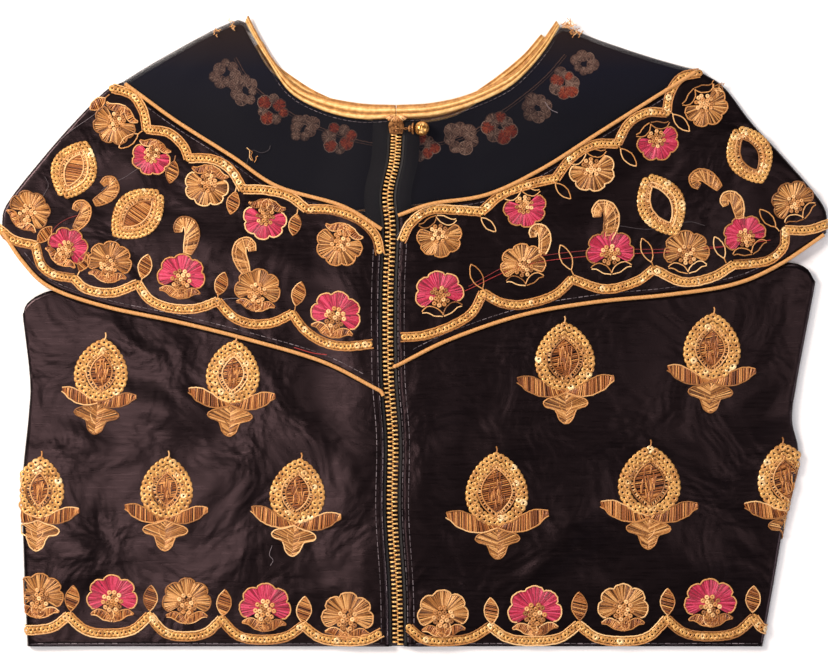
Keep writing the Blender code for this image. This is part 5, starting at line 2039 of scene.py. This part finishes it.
@dataclass
class NeckBinding:
    """The gold ribbon folded over the neck's edge, back and front."""

    steps: int = 110
    thick: float = 0.9
    ridges: int = 3

    def back(self) -> None:
        """The back's two lengths, ridged lengthwise, which meet over the zip."""
        for side, sign in SIGN.items():
            low, high = smooth(NECK_LOW[side]), smooth(NECK_HIGH[side])
            meet = GAP / 2 * sign
            starts = [Vector((zip_x(line.at(0).y) + meet, line.at(0).y)) for line in (low, high)]
            edges = [
                Route([start] + [p for p in line.points if sign * (p.x - start.x) > 1])
                for start, line in zip(starts, (low, high))
            ]
            rows = []
            for share in shares(self.steps):
                a, b = edges[0].at(share), edges[1].at(share)
                pinch = 0.35 * math.sin(share * 230.0) * max(0.0, 1 - share * 9)
                row = []
                for v in shares(18):
                    p = a.lerp(b, v)
                    crown = 0.3 * abs(math.sin(math.pi * v * self.ridges)) ** 0.7 - 0.35 * (2 * v - 1) ** 4
                    row.append(Vector((p.x, p.y, FORM.at(p.x, p.y) + 0.1 + crown + pinch * (1 - v))))
                rows.append(row)
            name = f"neck_binding_{side}_ribbon"
            piece = walled(new_object(name, strip_mesh(name, rows, True), Paint.NECK.material()), self.thick)
            keep(piece, Bodies.BLOUSE, "neck_tape", f"neck_binding_{side}")
            shown, length = self.area(edges), edges[0].length * MM

    @staticmethod
    def area(edges: list[Route]) -> float:
        """The flat area in square metres of the half that shows; as much again is folded inside the neck."""
        total = 0.0
        for a, b in zip(shares(40), shares(40)[1:]):
            p, q = edges[0].at(a), edges[0].at(b)
            total += (q - p).length * (edges[1].at(a) - p).length
        return total * MM * MM

    def front(self) -> None:
        """The front's ribbon, which peeks out behind the back neck."""
        high = smooth(FRONT_NECK)
        low = high.shifted(FRONT_BINDING_WIDE, DOWN)
        rows = []
        for share in shares(90):
            a, b = low.at(share), high.at(share)
            rows.append(
                [
                    Vector((*a.lerp(b, v), 0.62 + 0.12 * abs(math.sin(math.pi * v * self.ridges))))
                    for v in shares(12)
                ]
            )
        name = "neck_binding_front_ribbon"
        piece = walled(new_object(name, strip_mesh(name, rows, True), Paint.NECK.material()), 0.6)
        keep(piece, Bodies.BLOUSE, "neck_tape", "neck_binding_front")

    def gathers(self, basket: Workbasket) -> None:
        """The stitches that pinch the ribbon over the zip's top, and the ribbon's rucks between them."""
        rng = random.Random(9)
        middle = Vector((PIVOT.x, 116.2))
        for i in range(13):
            turn = math.radians(200 + 140 * i / 12)
            inner = middle + Vector((math.cos(turn) * 2.6, 3.0 + math.sin(turn) * 1.6))
            reach = 6.6 + rng.uniform(-0.6, 0.8)
            outer = middle + Vector((math.cos(turn) * reach, 2.4 + math.sin(turn) * 3.4))
            points = [Vector((*inner.lerp(outer, t), 5.9 + 0.9 * math.sin(math.pi * t))) for t in shares(4)]
            basket.thread("zip_gather", Paint.OUTLINE, points, 0.55, 0.3 + 0.7 * rng.random())
            if i % 2:
                points = [p + Vector((0.5, 0.1, 0.35)) for p in points[1:]]
                basket.thread("zip_gather", Paint.RED_THREAD, points, 0.14, 0.1)


@dataclass
class Zip:
    """The metal zip: two woven tapes, the stamped teeth, and the slider."""

    tape_wide: float = 13.0  # the whole tape, from the chain's middle to its outer edge
    tape_lines: tuple[Pair, ...] = ((3.55, 0.0), (4.0, 0.35), (4.6, 0.3), (5.2, 0.0), (9.0, 0.0), (13.0, 0.0))
    pitches: tuple[Pair, ...] = ((-174.0, 2.45), (60.0, 2.45), (84.0, 2.0), (96.0, 1.8), (109.0, 1.75))
    tooth_long: float = 3.3
    tooth_wide: float = 1.12
    tooth_tall: float = 2.0

    def tapes(self) -> None:
        """The tapes, with a raised woven edge next to the teeth."""
        for side, sign in SIGN.items():
            rows = []
            for t in shares(120):
                y = HEM_Y + (TAPE_TOP_Y - HEM_Y) * t
                middle = zip_x(y)
                row = []
                for d, lift in self.tape_lines:
                    row.append(Vector((middle + sign * d, y, ZIP_MID + lift)))
                rows.append(row)
            name = f"zip_tape_{side}_ribbon"
            piece = walled(new_object(name, strip_mesh(name, rows, True), Paint.TAPE.material()), 0.5)
            keep(piece, Bodies.BLOUSE, "zip_tape", f"zip_tape_{side}")
            drawn = sum(math.dist(a, b) for a, b in zip(self.tape_lines, self.tape_lines[1:])) * MM

    def pitch(self, y: float) -> float:
        """The distance from one tooth to the next on the same side."""
        return float(np.interp(y, [p[0] for p in self.pitches], [p[1] for p in self.pitches]))

    def tooth(self) -> Mesh:
        """One stamped tooth: a rounded bar with a waist and a wider head."""
        mesh = bmesh.new()
        bmesh.ops.create_cube(mesh, size=1.0)
        bmesh.ops.subdivide_edges(mesh, edges=mesh.edges[:], cuts=1, use_grid_fill=True)
        for vert in mesh.verts:
            x, y, z = vert.co * 2
            waist = 0.8 if abs(x) < 0.5 else 1.0
            corner = 0.84 if abs(y) > 0.5 and abs(z) > 0.5 else 1.0
            end = 0.9 if abs(x) > 0.5 and abs(z) > 0.5 else 1.0
            vert.co = Vector(
                (
                    x / 2 * self.tooth_long * end,
                    y / 2 * self.tooth_wide * waist * corner,
                    z / 2 * self.tooth_tall * corner,
                )
            ) * MM
        data = bpy.data.meshes.new("tooth")
        mesh.to_mesh(data)
        mesh.free()
        return data

    def teeth(self, basket: Workbasket) -> None:
        """Lays the teeth up both sides, in step with each other, squeezed where the zip buckles."""
        rng = random.Random(3)
        basket.small["teeth"] = new_object("tooth_pattern", self.tooth(), None)
        spots = []
        y, side = HEM_Y + 1.2, 1
        while y < CHAIN_TOP_Y:
            ahead = Vector((zip_x(y + 1.5) - zip_x(y - 1.5), 3.0)).normalized()
            normal = Vector((ahead.y, -ahead.x))
            middle = Vector((zip_x(y), y)) + normal * side * 1.28
            turn = math.atan2(normal.y, normal.x) + rng.uniform(-0.03, 0.03)
            shade = 0.45 + 0.5 * rng.random()
            spots.append((Vector((middle.x, middle.y, ZIP_MID + 0.1)), Vector((0, 0, turn)), 1.0, shade))
            y += self.pitch(y) / 2
            side = -side
        piece = basket.scattered("zip_teeth", spots, "teeth", Paint.BRASS, 0.02)
        keep(piece, Bodies.BLOUSE, "brass_teeth", "zip_chain")

    def slider(self) -> None:
        """The slider keeps its solid and takes the bronze finish."""
        node = FRAME["nodes"]["zip_slider"]
        node.data.materials.clear()
        node.data.materials.append(Paint.BRONZE.material())


def skinned(mesh: bmesh.types.BMesh, rings: list, closed: bool = False) -> list:
    """Skins a row of rings of points.

    Args:
        mesh: the shape that it goes in.
        rings: equal rings of points.
        closed: whether the last ring joins the first.

    Returns:
        The rings' corners.
    """
    made = [[mesh.verts.new(point) for point in ring] for ring in rings]
    for a, b in zip(made, made[1:] + made[:1] if closed else made[1:]):
        for i in range(len(a)):
            k = (i + 1) % len(a)
            mesh.faces.new((a[i], a[k], b[k], b[i]))
    return made


@dataclass
class Pull:
    """The bead pull: a ring through the slider's bail, a wired shank, a two-lobed cap and a bead."""

    bead_at: float = 14.2
    bead_radius: float = 4.0
    cap_from: float = 6.7

    def placed(self, mesh: bmesh.types.BMesh, name: str, paint: Paint) -> Object:
        """Turns a shape made along X on the slider's pivot into a piece in its place."""
        turn = Matrix.Rotation(-PULL_SLOPE, 4, "Y")
        bmesh.ops.transform(mesh, matrix=Matrix.Translation(PIVOT) @ turn, verts=mesh.verts[:])
        bmesh.ops.scale(mesh, vec=(MM, MM, MM), verts=mesh.verts[:])
        bmesh.ops.recalc_face_normals(mesh, faces=mesh.faces[:])
        data = bpy.data.meshes.new(name)
        mesh.to_mesh(data)
        mesh.free()
        data.shade_smooth()
        return new_object(name, data, paint.material())

    @staticmethod
    def turned(profile: Sequence[Pair], sides: int = 32) -> bmesh.types.BMesh:
        """A turned shape along X.

        Args:
            profile: distance along X and radius, from end to end, both ends on the axis.
            sides: facets round it.

        Returns:
            The closed shape.
        """
        mesh = bmesh.new()
        turns = [math.tau * i / sides for i in range(sides)]
        rings = [[(x, out * math.cos(t), out * math.sin(t)) for t in turns] for x, out in profile[1:-1]]
        rings = skinned(mesh, rings)
        for (x, _), ring in ((profile[0], rings[0]), (profile[-1], rings[-1])):
            end = mesh.verts.new((x, 0, 0))
            for i in range(sides):
                mesh.faces.new((end, ring[i], ring[(i + 1) % sides]))
        return mesh

    def bead(self) -> None:
        """The bead, with the seam round its middle where its two halves join."""
        profile = [(self.bead_at - self.bead_radius, 0.0)]
        for i in range(1, 28):
            turn = math.pi * i / 28
            groove = 0.93 if i == 14 else 1.0
            radius = self.bead_radius * math.sin(turn) * groove
            profile.append((self.bead_at - self.bead_radius * math.cos(turn), radius))
        profile.append((self.bead_at + self.bead_radius, 0.0))
        piece = self.placed(self.turned(profile), "zip_pull_bead_polished", Paint.BEAD)
        keep(piece, Bodies.PULL, "bead", "zip_pull_bead")

    def cap(self) -> None:
        """The cap: two rounded lobes with a waist, flared to seat the bead."""
        x = self.cap_from
        profile = [
            (x, 0.0), (x, 0.9), (x + 0.15, 1.45), (x + 0.6, 1.95), (x + 1.05, 1.9), (x + 1.35, 1.5),
            (x + 1.6, 1.6), (x + 1.95, 2.5), (x + 2.4, 3.15), (x + 2.8, 3.3), (x + 3.05, 3.1), (x + 3.1, 2.2),
            (x + 3.1, 0.0),
        ]
        piece = self.placed(self.turned(profile, 24), "zip_pull_cap_turned", Paint.BRONZE)
        keep(piece, Bodies.PULL, "bronze", "zip_pull_cap")

    def link(self) -> None:
        """The ring round the bail and the two wires that cross on their way to the cap."""
        mesh = bmesh.new()
        sides, laps, wires, steps = 36, 10, 8, 16
        rings = []
        for i in range(sides):
            turn = math.tau * i / sides
            c, d = math.cos(turn), math.sin(turn)
            round_wire = [math.tau * k / laps for k in range(laps)]
            outs = [(1.8 + 0.4 * math.cos(lap), 0.4 * math.sin(lap)) for lap in round_wire]
            rings.append([(0.8 + out * c, aside, out * d) for out, aside in outs])
        skinned(mesh, rings, True)
        for phase in (0.0, math.pi):
            rings = []
            for t in shares(steps):
                lap = phase + math.tau * 0.75 * t
                y, z = 0.42 * math.cos(lap), 0.42 * math.sin(lap)
                turns = [math.tau * k / wires for k in range(wires)]
                rings.append([(2.3 + 4.5 * t, y + 0.3 * math.cos(a), z + 0.3 * math.sin(a)) for a in turns])
            rings = skinned(mesh, rings)
            mesh.faces.new(rings[0])
            mesh.faces.new(rings[-1])
        piece = self.placed(mesh, "zip_pull_link_wire", Paint.BRONZE)
        keep(piece, Bodies.PULL, "bronze", "zip_pull_link")

    def build(self) -> None:
        """Makes the pull's three pieces."""
        self.link()
        self.cap()
        self.bead()


@dataclass
class Studio:
    """A plain pale floor, soft lights from the upper left, and the camera straight above."""

    camera_high: float = 1.6
    cloth_high: float = 0.004
    frame_wide: float = 0.4554
    floor_half: float = 3.0

    def camera(self) -> None:
        """A long lens over the origin whose frame is as wide as the garment."""
        data = bpy.data.cameras.new("camera")
        data.lens = data.sensor_width * (self.camera_high - self.cloth_high) / self.frame_wide
        data.clip_end = 30.0
        made = bpy.data.objects.new("camera", data)
        made.location = (0.0, 0.0, self.camera_high)
        bpy.context.scene.collection.objects.link(made)
        bpy.context.scene.camera = made

    def floor(self) -> None:
        """A matt white sheet of paper under everything."""
        half = self.floor_half / MM
        corners = [(-half, -half, 0), (half, -half, 0), (half, half, 0), (-half, half, 0)]
        data = mesh_of("floor", corners, [], [(0, 1, 2, 3)])
        paper = bpy.data.materials.new("white_backdrop_paper_matt")
        paper.use_nodes = True
        tree = paper.node_tree
        tree.nodes.clear()
        place = add(tree, "TexCoord").outputs["Object"]
        grain = add(tree, "TexNoise", {"Vector": place, "Scale": 800.0, "Detail": 2.0})
        tone = add(tree, "ValToRGB", {"Fac": grain})
        ramp(tone, (0.3, "#f6f6f6"), (0.7, "#fbfbfb"))
        shader = add(tree, "BsdfPrincipled", {"Base Color": tone, "Roughness": 0.9})
        add(tree, "OutputMaterial", {"Surface": shader})
        new_object("floor", data, paper)

    def light(
        self, name: str, place: tuple[float, float, float], size: float, power: float, colour: str
    ) -> None:
        """One square soft light aimed at the garment.

        Args:
            name: the light's name.
            place: where it stands, in metres.
            size: its side, in metres.
            power: its power in watts.
            colour: its colour.
        """
        data = bpy.data.lights.new(name, "AREA")
        data.size = size
        data.energy = power
        data.color = linear(colour)[:3]
        made = bpy.data.objects.new(name, data)
        made.location = place
        made.rotation_mode = "QUATERNION"
        made.rotation_quaternion = (Vector((0, 0, 0)) - Vector(place)).to_track_quat("-Z", "Y")
        bpy.context.scene.collection.objects.link(made)

    def build(self) -> None:
        """Sets up the studio."""
        self.camera()
        self.floor()
        self.light("key", (-0.95, 0.55, 0.95), 0.55, 27.0, "#fff2e8")
        self.light("fill", (1.5, -0.6, 1.1), 1.0, 15.0, "#fbf7ff")
        self.light("top_rim", (0.3, 1.8, 0.9), 0.8, 14.0, "#ffffff")
        self.light("left_sheen", (-0.32, -0.11, 0.95), 0.26, 1.8, "#ffece6")
        self.light("right_sheen", (0.4, 0.0, 0.95), 0.26, 0.6, "#ffece6")
        self.light("low_rim", (-0.4, -1.9, 1.0), 0.9, 14.0, "#ffffff")
        world = bpy.data.worlds.new("studio")
        world.use_nodes = True
        world.node_tree.nodes["Background"].inputs["Color"].default_value = linear("#f2f2f4")
        world.node_tree.nodes["Background"].inputs["Strength"].default_value = 0.06
        bpy.context.scene.world = world
        bpy.context.scene.view_settings.view_transform = "Standard"


FRAME: dict = {}


def main() -> None:
    """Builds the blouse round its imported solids."""
    logging.basicConfig(level=logging.INFO, format="%(message)s")
    FRAME.update(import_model())
    Studio().build()
    cloth = Cloth()
    cloth.backs()
    cloth.fronts()
    basket = Workbasket()
    binding = NeckBinding()
    binding.back()
    binding.front()
    binding.gathers(basket)
    Embroidery(cloth, basket).build()
    Piping(basket).build(cloth.across)
    fastener = Zip()
    fastener.tapes()
    fastener.teeth(basket)
    fastener.slider()
    Pull().build()
    basket.put_away()


if __name__ == "__main__":
    main()
